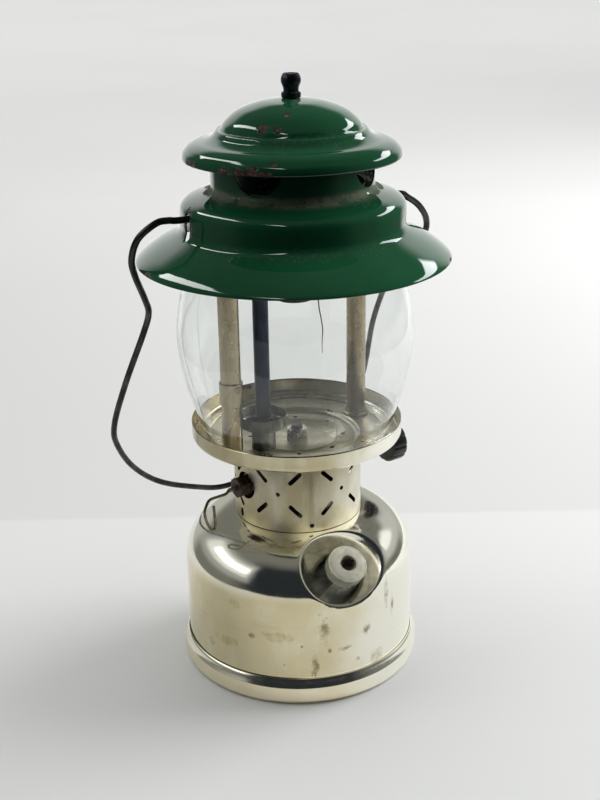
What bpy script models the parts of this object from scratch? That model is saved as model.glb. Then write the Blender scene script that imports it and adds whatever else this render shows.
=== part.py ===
"""Pressure mantle lantern: a nickel fount with filler and hand pump, a slotted collar,
a glass globe in a pan, a burner frame on two tubes, a two-tier green hood and a wire bail.

Metres, +Z up. The origin is the centre of the fount's flat underside. The front is -Y,
and an azimuth is counted in degrees from the front towards +X."""

from math import cos, pi, radians, sin, sqrt, tau

import bmesh
import bpy
from mathutils import Matrix, Vector

# General
SEAT_GAP = 0.0003             # between pieces that touch
OVERRUN = 0.002               # how far a cutter passes the wall it cuts
MERGE = 0.000001
LARGE_STEPS = 26              # sides of the large round pieces
DISH_STEPS = 24
MEDIUM_STEPS = 12
SMALL_STEPS = 8
WIRE_RESOLUTION = 1
CORD_RESOLUTION = 1
PATH_STEPS = 2                # points read between two of a wire's own points
HEXAGON_SIDES = 6
SHARP_ANGLE = 35.0            # faces that meet at more than this keep a crisp edge

# Fount: a drawn shell with a domed shoulder, crimped onto a pressed bottom
FOUNT_RADIUS = 0.0823
FOUNT_WALL = 0.0010
PORT_REACH = 0.0080           # of a port's cutter either side of the wall
FOUNT_SIDE_TOP = 0.0775       # where the shoulder begins to curve in
SHOULDER_RISE = 0.0355
CROWN_RADIUS = 0.0435         # where the shoulder has become level
SHOULDER_POINTS = 7
BASE_RADIUS = 0.0861
BASE_SHEET = 0.0010
BASE_BAND_HEIGHT = 0.0140
BASE_SHOULDER_HEIGHT = 0.0055
BASE_LIP = 0.0010
BASE_CURL = 0.0046            # how far the band's lower edge rounds in
BASE_CURL_SHARES = ((0.00, 1.00), (0.25, 0.33), (1.00, 0.00))
FOOT_WIDTH = 0.0030
FOOT_DISC_RADIUS = 0.0660
CHANNEL_RISE = 0.0020
CHANNEL_SLOPE = 0.0020

# Levels, each stacked on the one it stands on
VALVE_RISE = 0.0286           # of the control valve and the cleaner shaft, above the crown
PAN_RISE = 0.0299             # of the pan floor's upper face above the valve
PAN_DEPTH = 0.0117
MANIFOLD_RISE = 0.1285        # above the pan's floor
BAIL_RISE = 0.0320            # of the bail's hinge above the manifold
BRIM_DROP = 0.0335            # of the brim's edge below the hinge
DRUM_DROP = 0.0115
DRUM_DEPTH = 0.0105
NECK_TUBE_RISE = 0.0466       # above the drum
DOME_STEP = 0.0064            # of the dome's foot above the neck
SKIRT_FALL = 0.0186
GLOBE_LAP = 0.0195            # of the globe inside the hood
CROWN_HEIGHT = FOUNT_SIDE_TOP + SHOULDER_RISE
VALVE_HEIGHT = CROWN_HEIGHT + VALVE_RISE
PAN_FLOOR = VALVE_HEIGHT + PAN_RISE
PAN_RIM_TOP = PAN_FLOOR + PAN_DEPTH
MANIFOLD_HEIGHT = PAN_FLOOR + MANIFOLD_RISE
BAIL_HEIGHT = MANIFOLD_HEIGHT + BAIL_RISE
BRIM_EDGE = BAIL_HEIGHT - BRIM_DROP
DRUM_BOTTOM = BAIL_HEIGHT - DRUM_DROP
DRUM_TOP = DRUM_BOTTOM + DRUM_DEPTH
NECK_TUBE_TOP = DRUM_TOP + NECK_TUBE_RISE
DOME_BASE = NECK_TUBE_TOP + DOME_STEP
GLOBE_BOTTOM = PAN_FLOOR + SEAT_GAP
GLOBE_TOP = BRIM_EDGE + GLOBE_LAP

# Filler in its dished recess on the shoulder
FILLER_AZIMUTH = 28.8
FILLER_TILT = 38.0
FILLER_SEAT_RADIUS = 0.0600   # the dish's lowest point, from the lantern's axis
FILLER_SEAT_HEIGHT = 0.0848
FILLER_DISH_AZIMUTH = 25.0
FILLER_DISH_OUT = 0.0853      # centre of the sphere that forms the dish
FILLER_DISH_HEIGHT = 0.1089
FILLER_DISH_RADIUS = 0.0364
NECK_RADIUS = 0.0105
NECK_WALL = 0.0020
NECK_DEPTH = 0.0060
NECK_HEIGHT = 0.0116
CAP_RADIUS = 0.01375
CAP_WALL = 0.0025
CAP_SKIRT_START = 0.0058
CAP_CROWN = 0.0030
CAP_CHAMFER = 0.0008
CAP_VENT_RADIUS = 0.0011
CAP_VENT_HEIGHT = 0.0072
GASKET = 0.0013
GASKET_BORE = 0.0075
CAP_SCREW_RADIUS = 0.0046
CAP_SCREW_HEAD = 0.0030
CAP_SCREW_SHANK = 0.0018
CAP_SCREW_DOME = 0.0012

# Hand pump in a like recess opposite
PUMP_AZIMUTH = -147.0
PUMP_TILT = 47.0
PUMP_SEAT_RADIUS = 0.0600
PUMP_SEAT_HEIGHT = 0.0865
PUMP_DISH_RADIUS = 0.0300     # of the sphere on the pump's axis that forms the dish
BARREL_RADIUS = 0.0095
BARREL_WALL = 0.0008
BARREL_HEIGHT = 0.0040
BARREL_PORT_RADIUS = 0.0016
PUMP_CAP_RADIUS = 0.0130
PUMP_CAP_HEIGHT = 0.0100
PUMP_CAP_TOP = 0.0018
PUMP_CAP_CHAMFER = 0.0010
ROD_RADIUS = 0.0028
ROD_BORE = 0.0014
ROD_TOP = 0.0240
LEATHER_THICKNESS = 0.0060
LEATHER_WALL = 0.0020
LEATHER_CLEARANCE = 0.0004
LEATHER_REST = 0.0040         # between the leather and the barrel's end
PUMP_KNOB_RADIUS = 0.0100
PUMP_KNOB_HEIGHT = 0.0080
PUMP_KNOB_RIM = 0.0020
PUMP_KNOB_WAIST = 0.0060
AIR_STEM_RADIUS = 0.0008
AIR_STEM_TOP = 0.0200
CHECK_RADIUS = 0.0045
CHECK_LENGTH = 0.0090
CHECK_NOSE_RADIUS = 0.0025
PICKUP_OFFSET = 0.0050        # of the fuel pickup tube, from the lantern's axis
PICKUP_CLEARANCE = 0.0072     # between the pump's far end and the pickup tube
BARREL_SPAN = PUMP_SEAT_RADIUS + PICKUP_OFFSET - PICKUP_CLEARANCE
BARREL_DEPTH = BARREL_SPAN / sin(radians(PUMP_TILT)) - CHECK_LENGTH

# Slotted collar
COLLAR_RADIUS = 0.0452
COLLAR_WALL = 0.0008
CROSS_COUNT = 6               # crosses of four slots around the collar
CROSS_FIRST_AZIMUTH = -18.0
CROSS_HEIGHT = VALVE_HEIGHT
SLOT_INNER = 0.0112           # from the cross's centre to the slot's near end
SLOT_LENGTH = 0.0122
SLOT_WIDTH = 0.0031
SLOT_END_POINTS = 2
CROSS_DOT_RADIUS = 0.0016
LOW_DOT_RADIUS = 0.0016
LOW_DOT_RISE = 0.0050
LOW_DOT_HEIGHT = CROWN_HEIGHT + LOW_DOT_RISE
LOW_DOT_COUNT = 3
OVAL_AZIMUTH = -61.0
OVAL_RISE = 0.0058
OVAL_HEIGHT = CROWN_HEIGHT + OVAL_RISE
OVAL_WIDTH = 0.0040
OVAL_LENGTH = 0.0070
COLLAR_PORT_RADIUS = 0.0098   # for the cleaner's packing nut
COLLAR_STEM_PORT_RADIUS = 0.0060

# Valve body on the fount's crown, inside the collar
VALVE_AZIMUTH = 124.0
CLEANER_AZIMUTH = -54.0
COLUMN_RADIUS = 0.0090
BODY_FLANGE_RADIUS = 0.0140
BODY_FLANGE = 0.0035
BODY_THREAD_RADIUS = 0.0080
BODY_THREAD_DEPTH = 0.0100
BODY_STUD_RADIUS = 0.0040
BODY_STUD_RISE = 0.0047
BODY_STUD_TOP = PAN_FLOOR + BODY_STUD_RISE
ARM_RADIUS = 0.0070
VALVE_ARM_REACH = 0.0240
CLEANER_ARM_RADIUS = 0.0055
STEM_RADIUS = 0.0024
STEM_CLEARANCE = 0.0004
STEM_START = 0.0110
STEM_POINT = 0.0030
STEM_END = 0.0840
PACKING_FLATS = 0.0120
PACKING_LENGTH = 0.0090
CLEANER_NUT_FLATS = 0.0135
CLEANER_NUT_LENGTH = 0.0090
CLEANER_NUT_INSET = 0.0012    # of the nut's inner end inside the collar
CLEANER_NUT_START = COLLAR_RADIUS - CLEANER_NUT_INSET
CLEANER_ARM_GAP = 0.0040
CLEANER_ARM_REACH = CLEANER_NUT_START - CLEANER_ARM_GAP
PICKUP_AZIMUTH = 33.0
PICKUP_RADIUS = 0.0022
PICKUP_BORE = 0.0012
PICKUP_BOTTOM = 0.0060
PICKUP_SOCKET = 0.0060

# Control knob
KNOB_BACK = 0.0781            # from the lantern's axis
KNOB_THICKNESS = 0.0120
KNOB_RADIUS = 0.0148
KNOB_LOBES = 8
KNOB_CHAMFER = 0.0014
KNOB_HUB_RADIUS = 0.0060
KNOB_HUB_LENGTH = 0.0040
KNOB_SCREW_RADIUS = 0.0035
KNOB_SCREW_HEAD = 0.0018
KNOB_RECESS_RADIUS = 0.0090
KNOB_RECESS_DEPTH = 0.0020

# Generator, its cleaning needle and the preheat cup
GENERATOR_AZIMUTH = -49.4
GENERATOR_OFFSET = 0.0303
GENERATOR_RADIUS = 0.0053
GENERATOR_BORE = 0.0038
GENERATOR_FOOT_RISE = 0.0005
GENERATOR_BOTTOM = PAN_FLOOR + GENERATOR_FOOT_RISE
GENERATOR_TIP_DROP = 0.0120
GENERATOR_TOP = MANIFOLD_HEIGHT - GENERATOR_TIP_DROP
GENERATOR_BOSS_RADIUS = 0.0082
GENERATOR_BOSS_RISE = 0.0123
GENERATOR_BOSS_TOP = PAN_FLOOR + GENERATOR_BOSS_RISE
GENERATOR_BOSS_DROP = 0.0086
GENERATOR_BOSS_BOTTOM = VALVE_HEIGHT - GENERATOR_BOSS_DROP
CHAMBER_FLOOR_WALL = 0.0022
CHAMBER_FLOOR = GENERATOR_BOSS_BOTTOM + CHAMBER_FLOOR_WALL
GENERATOR_NUT_FLATS = 0.0135
GENERATOR_NUT_HEIGHT = 0.0060
CUP_RADIUS = 0.0165
CUP_HEIGHT = 0.0088
CUP_SHEET = 0.0008
CUP_CURVE = 0.0022
SHAFT_RADIUS = 0.0016
SHAFT_REACH = 0.0150          # beyond the nut's inner end
SHAFT_END = CLEANER_NUT_START + SHAFT_REACH
CRANK_THICKNESS = 0.0012
CRANK_GAP = 0.0006
CRANK_PIN_RADIUS = 0.0008
TAB_THICKNESS = 0.0012
TAB_WIDTH = 0.0064
TAB_HEIGHT = 0.0050
TAB_SLOT_WIDTH = 0.0042
TAB_SLOT_HEIGHT = 0.0025
NEEDLE_RADIUS = 0.0006
NEEDLE_TIP_DROP = 0.0040
NEEDLE_TOP = GENERATOR_TOP - NEEDLE_TIP_DROP
LEVER_WIRE_RADIUS = 0.0010
LEVER_REACH = 0.0203          # beyond the shaft
LEVER_OUT = SHAFT_END + LEVER_REACH
LEVER_DROP = 0.0259
LEVER_SAG = 0.0022            # of its straight limb below the shaft's centre
LEVER_LOOP_WIDTH = 0.0080
LEVER_SHARES = (              # of the loop's width, inwards, and of its drop
    (0.71, 0.10), (0.34, 0.20), (0.00, 0.40), (0.08, 0.62), (0.45, 0.90), (0.85, 1.00),
    (1.00, 0.85), (0.92, 0.32),
)

# Globe pan and what stands in it
PAN_RADIUS = 0.0738
PAN_SHEET = 0.0010
PAN_CURVE = 0.0035
PAN_STEP = 0.0033             # how far the middle is pressed down
PAN_STEP_RUN = 0.0024
PAN_LIP = 0.0008
PAN_HOLE_INSET = 0.0122       # of the holes' ring inside the collar
PAN_HOLE_RING = COLLAR_RADIUS - PAN_HOLE_INSET
PAN_HOLE_COUNT = 8
PAN_HOLE_FIRST_AZIMUTH = 2.0
PAN_HOLE_RADIUS = 0.0024
PLATE_NUT_FLATS = 0.0140
PLATE_NUT_HEIGHT = 0.0052

# Frame tubes
TUBE_RING = 0.0540
TUBE_RADIUS = 0.0069
TUBE_WALL = 0.0009
SLEEVE_RISE = 0.0337
SLEEVE_BOTTOM = PAN_FLOOR + SLEEVE_RISE
SLEEVE_HEIGHT = 0.0157
SLEEVE_WALL = 0.0007
SLEEVE_STUD_RADIUS = 0.0015
SLEEVE_STUD_LENGTH = 0.0060
SLEEVE_STUD_RISE = 0.0120
SLEEVE_STUD_HEIGHT = SLEEVE_BOTTOM + SLEEVE_STUD_RISE
FOOT_FLANGE_RADIUS = 0.0095
FOOT_FLANGE_HEIGHT = 0.0040

# Burner frame across the tubes
MANIFOLD_RADIUS = 0.0090
MANIFOLD_CURVE = 0.0030
SOCKET_RADIUS = 0.0088
SOCKET_DROP = 0.0150
SOCKET_RISE = 0.0013
SOCKET_DEPTH = 0.0130
BURNER_TUBE_RADIUS = 0.0080
BURNER_TUBE_DROP = 0.0255
BURNER_TUBE_BOTTOM = MANIFOLD_HEIGHT - BURNER_TUBE_DROP
BURNER_CAP_RADIUS = 0.0135
BURNER_CAP_TOP = MANIFOLD_HEIGHT - SOCKET_DROP
BURNER_CAP_HEIGHT = 0.0160
BURNER_CAP_BOTTOM = BURNER_CAP_TOP - BURNER_CAP_HEIGHT
BURNER_CAP_WALL = 0.0015
BURNER_GROOVE_RISE = 0.0055
BURNER_GROOVE_HEIGHT = BURNER_CAP_BOTTOM + BURNER_GROOVE_RISE
BURNER_GROOVE_DEPTH = 0.0011
BURNER_GROOVE_WIDTH = 0.0030

# Mantle tie: its loop in the groove, and the string's own route of X, Y and drop below the loop
TIE_RADIUS = 0.00055
TIE_POINTS = 20
TIE_RING_CLEARANCE = 0.0001
STRING_RADIUS = 0.00042
STRING_ROUTE = (
    (0.01339, -0.0037, 0.0000), (0.01440, -0.0040, 0.0003), (0.01560, -0.0046, 0.0025),
    (0.01610, -0.0050, 0.0060), (0.01650, -0.0052, 0.0115), (0.01760, -0.0053, 0.0175),
    (0.01850, -0.0056, 0.0235), (0.01880, -0.0059, 0.0285), (0.01840, -0.0058, 0.0335),
    (0.01830, -0.0055, 0.0385), (0.01850, -0.0053, 0.0435),
)

# Bail bracket, vent stud and baffle
BRACKET_THICKNESS = 0.0020
BRACKET_WIDTH = 0.0150
EAR_REACH = 0.0600            # outer face of the ears, from the lantern's axis
EAR_RISE = 0.0102
EAR_TOP = BAIL_HEIGHT + EAR_RISE
BAIL_AZIMUTH = 115.5          # of the hinge line's right end
BAIL_WIRE_RADIUS = 0.00225
BAIL_CLEARANCE = 0.0004
STUD_RADIUS = 0.0024
STUD_SOCKET = 0.0070
STUD_RISE = 0.0074            # above the hood cap
STUD_NUT_FLATS = 0.0095
STUD_NUT_HEIGHT = 0.0040
BAFFLE_NUT_RISE = 0.0180
BAFFLE_NUT_BOTTOM = BAIL_HEIGHT + BAFFLE_NUT_RISE
BAFFLE_NUT_HEIGHT = 0.0040
BAFFLE_CLEARANCE = 0.0073     # around the baffle, inside the neck
BAFFLE_FLAT = 0.0160
BAFFLE_DROP = 0.0060
BAFFLE_SHEET = 0.0008

# Bail: half outline, along the hinge line and away from it, and how far it hangs back
BAIL_SWING = 28.7
BAIL_HALF_WIDTH = 0.1100
BAIL_LENGTH = 0.3025
BAIL_TIP = 0.0570
BAIL_SHOULDER = 0.0810
BAIL_LEFT_SHARES = (          # share of the half width, share of the length, downwards
    (0.790, -0.008), (0.874, 0.000), (0.970, 0.038), (0.993, 0.093), (0.959, 0.143),
    (0.870, 0.222), (0.832, 0.268), (0.848, 0.334), (0.918, 0.494), (0.956, 0.640), (0.914, 0.723),
    (0.765, 0.828), (0.535, 0.916), (0.224, 0.976),
)
BAIL_RIGHT_SHARES = (         # the same from the bottom of the loop up the other side
    (0.000, 1.000), (0.224, 0.978), (0.535, 0.920), (0.780, 0.828), (0.925, 0.720), (0.957, 0.622),
    (0.888, 0.443), (0.880, 0.345), (0.905, 0.290), (1.000, 0.195), (1.040, 0.134), (1.010, 0.088),
    (0.918, 0.044), (0.810, 0.014),
)

# Hood: lower tier
HOOD_SHEET = 0.0010
BRIM_RADIUS = 0.1055
DRUM_RADIUS = 0.0750
SHELF_RISE = 0.0135
NECK_TUBE_RADIUS = 0.0543
BRIM_SHARES = (               # from brim edge to drum, of the run and of the rise
    (0.000, 0.000), (0.065, 0.140), (0.245, 0.350), (0.505, 0.580), (0.820, 0.800),
)
SHELF_SHARES = (              # from drum to neck, of the run and of the rise
    (0.030, 0.330), (0.150, 0.560), (0.340, 0.730), (0.725, 0.930), (1.000, 1.220),
)
VENT_COUNT = 4
VENT_FIRST_AZIMUTH = -25.0
VENT_RADIUS = 0.0168
VENT_DROP = 0.0287            # of a vent's lowest point below the neck's top
VENT_BOTTOM = NECK_TUBE_TOP - VENT_DROP
BAIL_SLOT_WIDTH = 0.0080
BAIL_SLOT_RISE = 0.0048
BAIL_SLOT_TOP = BAIL_HEIGHT + BAIL_SLOT_RISE

# Hood: cap
HOOD_CAP_SHEET = 0.0010
DOME_RADIUS = 0.0462
DOME_RISE = 0.0186
DOME_HOLE_RADIUS = 0.0030
SKIRT_RADIUS = 0.0721
DOME_SHARES = ((0.405, 0.925), (0.715, 0.680), (0.910, 0.345), (1.000, 0.060))
SKIRT_SHARES = (              # from the dome's foot to the edge, of the run and of the fall
    (0.127, 0.022), (0.243, 0.226), (0.417, 0.344), (0.649, 0.398),
    (0.822, 0.516), (0.931, 0.683), (0.995, 0.870), (0.985, 1.000),
)

# Ball nut
BALL_RADIUS = 0.0065
BALL_HEIGHT = 0.0110          # of its centre above its seat
BALL_WAIST = 0.0050
BALL_COLLAR_RADIUS = 0.0063
BALL_COLLAR_HEIGHT = 0.0034
BALL_TOP = 0.0148
BALL_BORE_DEPTH = 0.0080
BALL_POINTS = 5

# Globe: bulged glass, radius and height shares
GLOBE_RADIUS = 0.0813
GLOBE_WALL = 0.0018
GLOBE_SHARES = (
    (0.779, 0.000), (0.822, 0.060), (0.885, 0.170), (0.955, 0.310),
    (1.000, 0.487), (0.974, 0.640), (0.892, 0.850), (0.846, 1.000),
)

# Values that follow from those above
DOME_TOP = DOME_BASE + DOME_RISE
STUD_TOP = DOME_TOP + STUD_RISE
PAN_MIDDLE = PAN_FLOOR - PAN_STEP
BAFFLE_RADIUS = NECK_TUBE_RADIUS - BAFFLE_CLEARANCE
HINGE_POINT = Vector((0, 0, BAIL_HEIGHT))


def clear_scene():
    """Empty the scene that Blender starts with."""
    for item in list(bpy.data.objects):
        bpy.data.objects.remove(item, do_unlink=True)


def finish(name, color, metallic, roughness, alpha=1.0):
    """A named Principled material."""
    material = bpy.data.materials.new(name)
    material.use_nodes = True
    shader = material.node_tree.nodes["Principled BSDF"]
    shader.inputs["Base Color"].default_value = (*color, 1.0)
    shader.inputs["Metallic"].default_value = metallic
    shader.inputs["Roughness"].default_value = roughness
    shader.inputs["Alpha"].default_value = alpha
    material.diffuse_color = (*color, alpha)
    return material


def compass(azimuth, radius, height=0.0):
    """The place at an azimuth, a radius from the lantern's axis and a height."""
    turn = radians(azimuth)
    return Vector((radius * sin(turn), -radius * cos(turn), height))


def tilted(azimuth, tilt):
    """The unit direction that leans outwards by tilt from +Z, at an azimuth."""
    return compass(azimuth, sin(radians(tilt)), cos(radians(tilt)))


def frame_at(origin, direction, level=Vector((0, 0, 1))):
    """A placement whose local Z runs along a direction and whose Y stays near level."""
    along = direction.normalized()
    side = level.cross(along)
    side = side.normalized() if side.length > MERGE else Vector((1, 0, 0))
    up = along.cross(side)
    placed = Matrix((side, up, along)).transposed().to_4x4()
    placed.translation = origin
    return placed


def add_object(name, data, material, place):
    item = bpy.data.objects.new(name, data)
    bpy.context.scene.collection.objects.link(item)
    item.matrix_world = place
    if material is not None:
        data.materials.append(material)
    return item


def mesh_object(name, shape, material, place, smooth=True):
    """Turn a bmesh into an object, shaded smooth except across real edges."""
    bmesh.ops.recalc_face_normals(shape, faces=shape.faces)
    mesh = bpy.data.meshes.new(name)
    shape.to_mesh(mesh)
    shape.free()
    if smooth:
        mesh.shade_smooth()
        mesh.set_sharp_from_angle(angle=radians(SHARP_ANGLE))
    return add_object(name, mesh, material, place)


def turned(name, outline, material, steps=MEDIUM_STEPS, place=Matrix(), smooth=True):
    """A solid of revolution about local Z from a closed outline of (radius, height)."""
    shape = bmesh.new()
    verts = [shape.verts.new((radius, 0, height)) for radius, height in outline]
    closed = outline[0][0] > 0 or outline[-1][0] > 0
    pairs = list(zip(verts, verts[1:])) + ([(verts[-1], verts[0])] if closed else [])
    edges = [shape.edges.new(pair) for pair in pairs]
    bmesh.ops.spin(
        shape, geom=verts + edges, cent=(0, 0, 0), axis=(0, 0, 1),
        angle=tau, steps=steps, use_merge=True, use_duplicate=False,
    )
    bmesh.ops.remove_doubles(shape, verts=shape.verts, dist=MERGE)
    return mesh_object(name, shape, material, place, smooth)


def rod_outline(radius, low, high):
    return [(0, low), (radius, low), (radius, high), (0, high)]


def pipe_outline(radius, bore, low, high):
    return [(bore, low), (radius, low), (radius, high), (bore, high)]


def prism(name, corners, low, high, material, place=Matrix()):
    """A flat outline in local XY, raised between two heights."""
    shape = bmesh.new()
    face = shape.faces.new([shape.verts.new((x, y, low)) for x, y in corners])
    grown = bmesh.ops.extrude_face_region(shape, geom=[face])
    raised = [part for part in grown["geom"] if isinstance(part, bmesh.types.BMVert)]
    bmesh.ops.translate(shape, verts=raised, vec=(0, 0, high - low))
    return mesh_object(name, shape, material, place, smooth=False)


def ball(name, radius, place):
    shape = bmesh.new()
    bmesh.ops.create_uvsphere(shape, u_segments=DISH_STEPS, v_segments=DISH_STEPS // 2, radius=radius)
    return mesh_object(name, shape, None, place)


def as_tool(item):
    """Mark an object that only shapes another one."""
    item.hide_render = True
    item.display_type = "WIRE"
    return item


def shaped(target, tool, operation):
    change = target.modifiers.new(f"{operation.lower()}_{tool.name}", "BOOLEAN")
    change.operation = operation
    change.solver = "EXACT"
    change.object = as_tool(tool)
    return target


def cut(target, tool):
    return shaped(target, tool, "DIFFERENCE")


def fuse(target, tool):
    return shaped(target, tool, "UNION")


def hex_nut(name, flats, low, high, bore, material, place=Matrix(), bore_steps=SMALL_STEPS):
    """A hexagon nut: the distance across its flats, its ends and its bore's radius."""
    corner = flats / sqrt(3)
    nut = turned(name, rod_outline(corner, low, high), material, HEXAGON_SIDES, place, smooth=False)
    through = rod_outline(bore, low - OVERRUN, high + OVERRUN)
    drill = turned(f"{name}_drill", through, None, bore_steps, place)
    return cut(nut, drill)


def smooth_path(points, reads=PATH_STEPS):
    """Points read from a Catmull-Rom curve through the route's own points."""
    path = []
    count = len(points)
    for index in range(count - 1):
        before = points[max(index - 1, 0)]
        start = points[index]
        end = points[index + 1]
        after = points[min(index + 2, count - 1)]
        for read in range(reads):
            t = read / reads
            path.append(0.5 * (
                2 * start + (end - before) * t + (2 * before - 5 * start + 4 * end - after) * t ** 2
                + (3 * start - before - 3 * end + after) * t ** 3
            ))
    path.append(points[-1])
    return path


def wire(name, path, radius, material, place=Matrix(), cyclic=False, resolution=WIRE_RESOLUTION):
    """A round wire along a path, with filled ends."""
    curve = bpy.data.curves.new(name, "CURVE")
    curve.dimensions = "3D"
    curve.bevel_depth = radius
    curve.bevel_resolution = resolution
    curve.use_fill_caps = True
    spline = curve.splines.new("POLY")
    spline.points.add(len(path) - 1)
    for point, (x, y, z) in zip(spline.points, path):
        point.co = (x, y, z, 1.0)
    spline.use_cyclic_u = cyclic
    return add_object(name, curve, material, place)


def shoulder_outline(wall, bottom):
    """The fount's outline from its axis over the shoulder to the lower edge, less a wall."""
    points = [(0, CROWN_HEIGHT - wall)]
    for index in range(SHOULDER_POINTS):
        turn = pi / 2 * (1 - index / (SHOULDER_POINTS - 1))
        radius = CROWN_RADIUS + (FOUNT_RADIUS - CROWN_RADIUS - wall) * cos(turn)
        height = FOUNT_SIDE_TOP + (SHOULDER_RISE - wall) * sin(turn)
        points.append((radius, height))
    return points + [(FOUNT_RADIUS - wall, bottom), (0, bottom)]


def fount_shell(nickel, filler, pump):
    """A hollow drawn shell: its two dishes and its ports are cut through a real wall."""
    bottom = CHANNEL_RISE + BASE_SHEET + SEAT_GAP
    shell = turned("fount_shell", shoulder_outline(0, bottom), nickel, LARGE_STEPS)
    hollow = turned("fount_hollow", shoulder_outline(FOUNT_WALL, bottom - OVERRUN), None, LARGE_STEPS)
    filler_dish = Matrix.Translation(compass(FILLER_DISH_AZIMUTH, FILLER_DISH_OUT, FILLER_DISH_HEIGHT))
    pump_dish = pump @ Matrix.Translation((0, 0, PUMP_DISH_RADIUS))
    for name, place, radius in (
        ("filler_dish", filler_dish, FILLER_DISH_RADIUS), ("pump_dish", pump_dish, PUMP_DISH_RADIUS),
    ):
        cut(shell, ball(name, radius, place))
        cut(hollow, ball(f"{name}_wall", radius + FOUNT_WALL, place))
    cut(shell, hollow)
    for name, place, port in (("filler_port", filler, NECK_RADIUS), ("pump_port", pump, BARREL_RADIUS)):
        outline = rod_outline(port + SEAT_GAP, -PORT_REACH, PORT_REACH)
        cut(shell, turned(name, outline, None, MEDIUM_STEPS, place))
    thread_clear = BODY_THREAD_RADIUS + SEAT_GAP
    crown_port = rod_outline(thread_clear, CROWN_HEIGHT - FOUNT_WALL - OVERRUN, CROWN_HEIGHT + OVERRUN)
    cut(shell, turned("crown_port", crown_port, None, MEDIUM_STEPS))


def fount_bottom(nickel):
    """The pressed bottom: centre disc, raised channel, foot and the crimped band."""
    band_inner = BASE_RADIUS - BASE_SHEET
    lip_inner = FOUNT_RADIUS + SEAT_GAP
    lip_top = BASE_BAND_HEIGHT + BASE_SHOULDER_HEIGHT
    curl = [(BASE_RADIUS - BASE_CURL * x, BASE_CURL * y) for x, y in BASE_CURL_SHARES]
    foot_outer = BASE_RADIUS - BASE_CURL
    foot_inner = foot_outer - FOOT_WIDTH
    channel_start = FOOT_DISC_RADIUS + CHANNEL_SLOPE
    channel_end = foot_inner - CHANNEL_SLOPE
    turned("fount_bottom", [
        (0, 0),
        (FOOT_DISC_RADIUS, 0),
        (channel_start, CHANNEL_RISE),
        (channel_end, CHANNEL_RISE),
        (foot_inner, 0),
        *curl[::-1],
        (BASE_RADIUS, BASE_BAND_HEIGHT),
        (lip_inner + BASE_LIP, lip_top),
        (lip_inner, lip_top),
        (band_inner, BASE_BAND_HEIGHT - BASE_LIP),
        (band_inner, BASE_CURL),
        (foot_outer - FOOT_WIDTH / 2, BASE_SHEET),
        (channel_end, CHANNEL_RISE + BASE_SHEET),
        (channel_start, CHANNEL_RISE + BASE_SHEET),
        (FOOT_DISC_RADIUS, BASE_SHEET),
        (0, BASE_SHEET),
    ], nickel, LARGE_STEPS)


def dish_rise(sphere_radius, radius):
    """How far a dish has risen above its lowest point, at a radius from its axis."""
    return sphere_radius - sqrt(sphere_radius ** 2 - radius ** 2)


def filler_pieces(place, finishes):
    """Threaded neck, gasket, vented cap and its centre screw, along the filler's axis."""
    neck = pipe_outline(NECK_RADIUS, NECK_RADIUS - NECK_WALL, -NECK_DEPTH, NECK_HEIGHT)
    turned("filler_neck", neck, finishes["brass"], MEDIUM_STEPS, place)
    gasket_low = NECK_HEIGHT + SEAT_GAP
    inner = CAP_RADIUS - CAP_WALL
    gasket = pipe_outline(inner - SEAT_GAP, GASKET_BORE, gasket_low, gasket_low + GASKET)
    turned("filler_gasket", gasket, finishes["rubber"], MEDIUM_STEPS, place)
    ceiling = gasket_low + GASKET + SEAT_GAP
    top = ceiling + CAP_CROWN
    screw_hole = CAP_SCREW_SHANK + SEAT_GAP
    cap = turned("filler_cap", [
        (screw_hole, ceiling), (inner, ceiling), (inner, CAP_SKIRT_START), (CAP_RADIUS, CAP_SKIRT_START),
        (CAP_RADIUS, top - CAP_CHAMFER), (CAP_RADIUS - CAP_CHAMFER, top), (screw_hole, top),
    ], finishes["cap_metal"], LARGE_STEPS // 2, place)
    vent_place = place @ frame_at(Vector((0, 0, CAP_VENT_HEIGHT)), Vector((0, -1, 0)))
    vent = rod_outline(CAP_VENT_RADIUS, inner - OVERRUN, CAP_RADIUS + OVERRUN)
    cut(cap, turned("cap_vent", vent, None, SMALL_STEPS, vent_place))
    head = top + SEAT_GAP
    head_top = head + CAP_SCREW_HEAD
    turned("filler_cap_screw", [
        (0, gasket_low), (CAP_SCREW_SHANK, gasket_low), (CAP_SCREW_SHANK, head), (CAP_SCREW_RADIUS, head),
        (CAP_SCREW_RADIUS, head_top - CAP_SCREW_DOME), (CAP_SCREW_RADIUS - CAP_SCREW_DOME, head_top),
        (0, head_top),
    ], finishes["dark_steel"], MEDIUM_STEPS, place)


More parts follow.
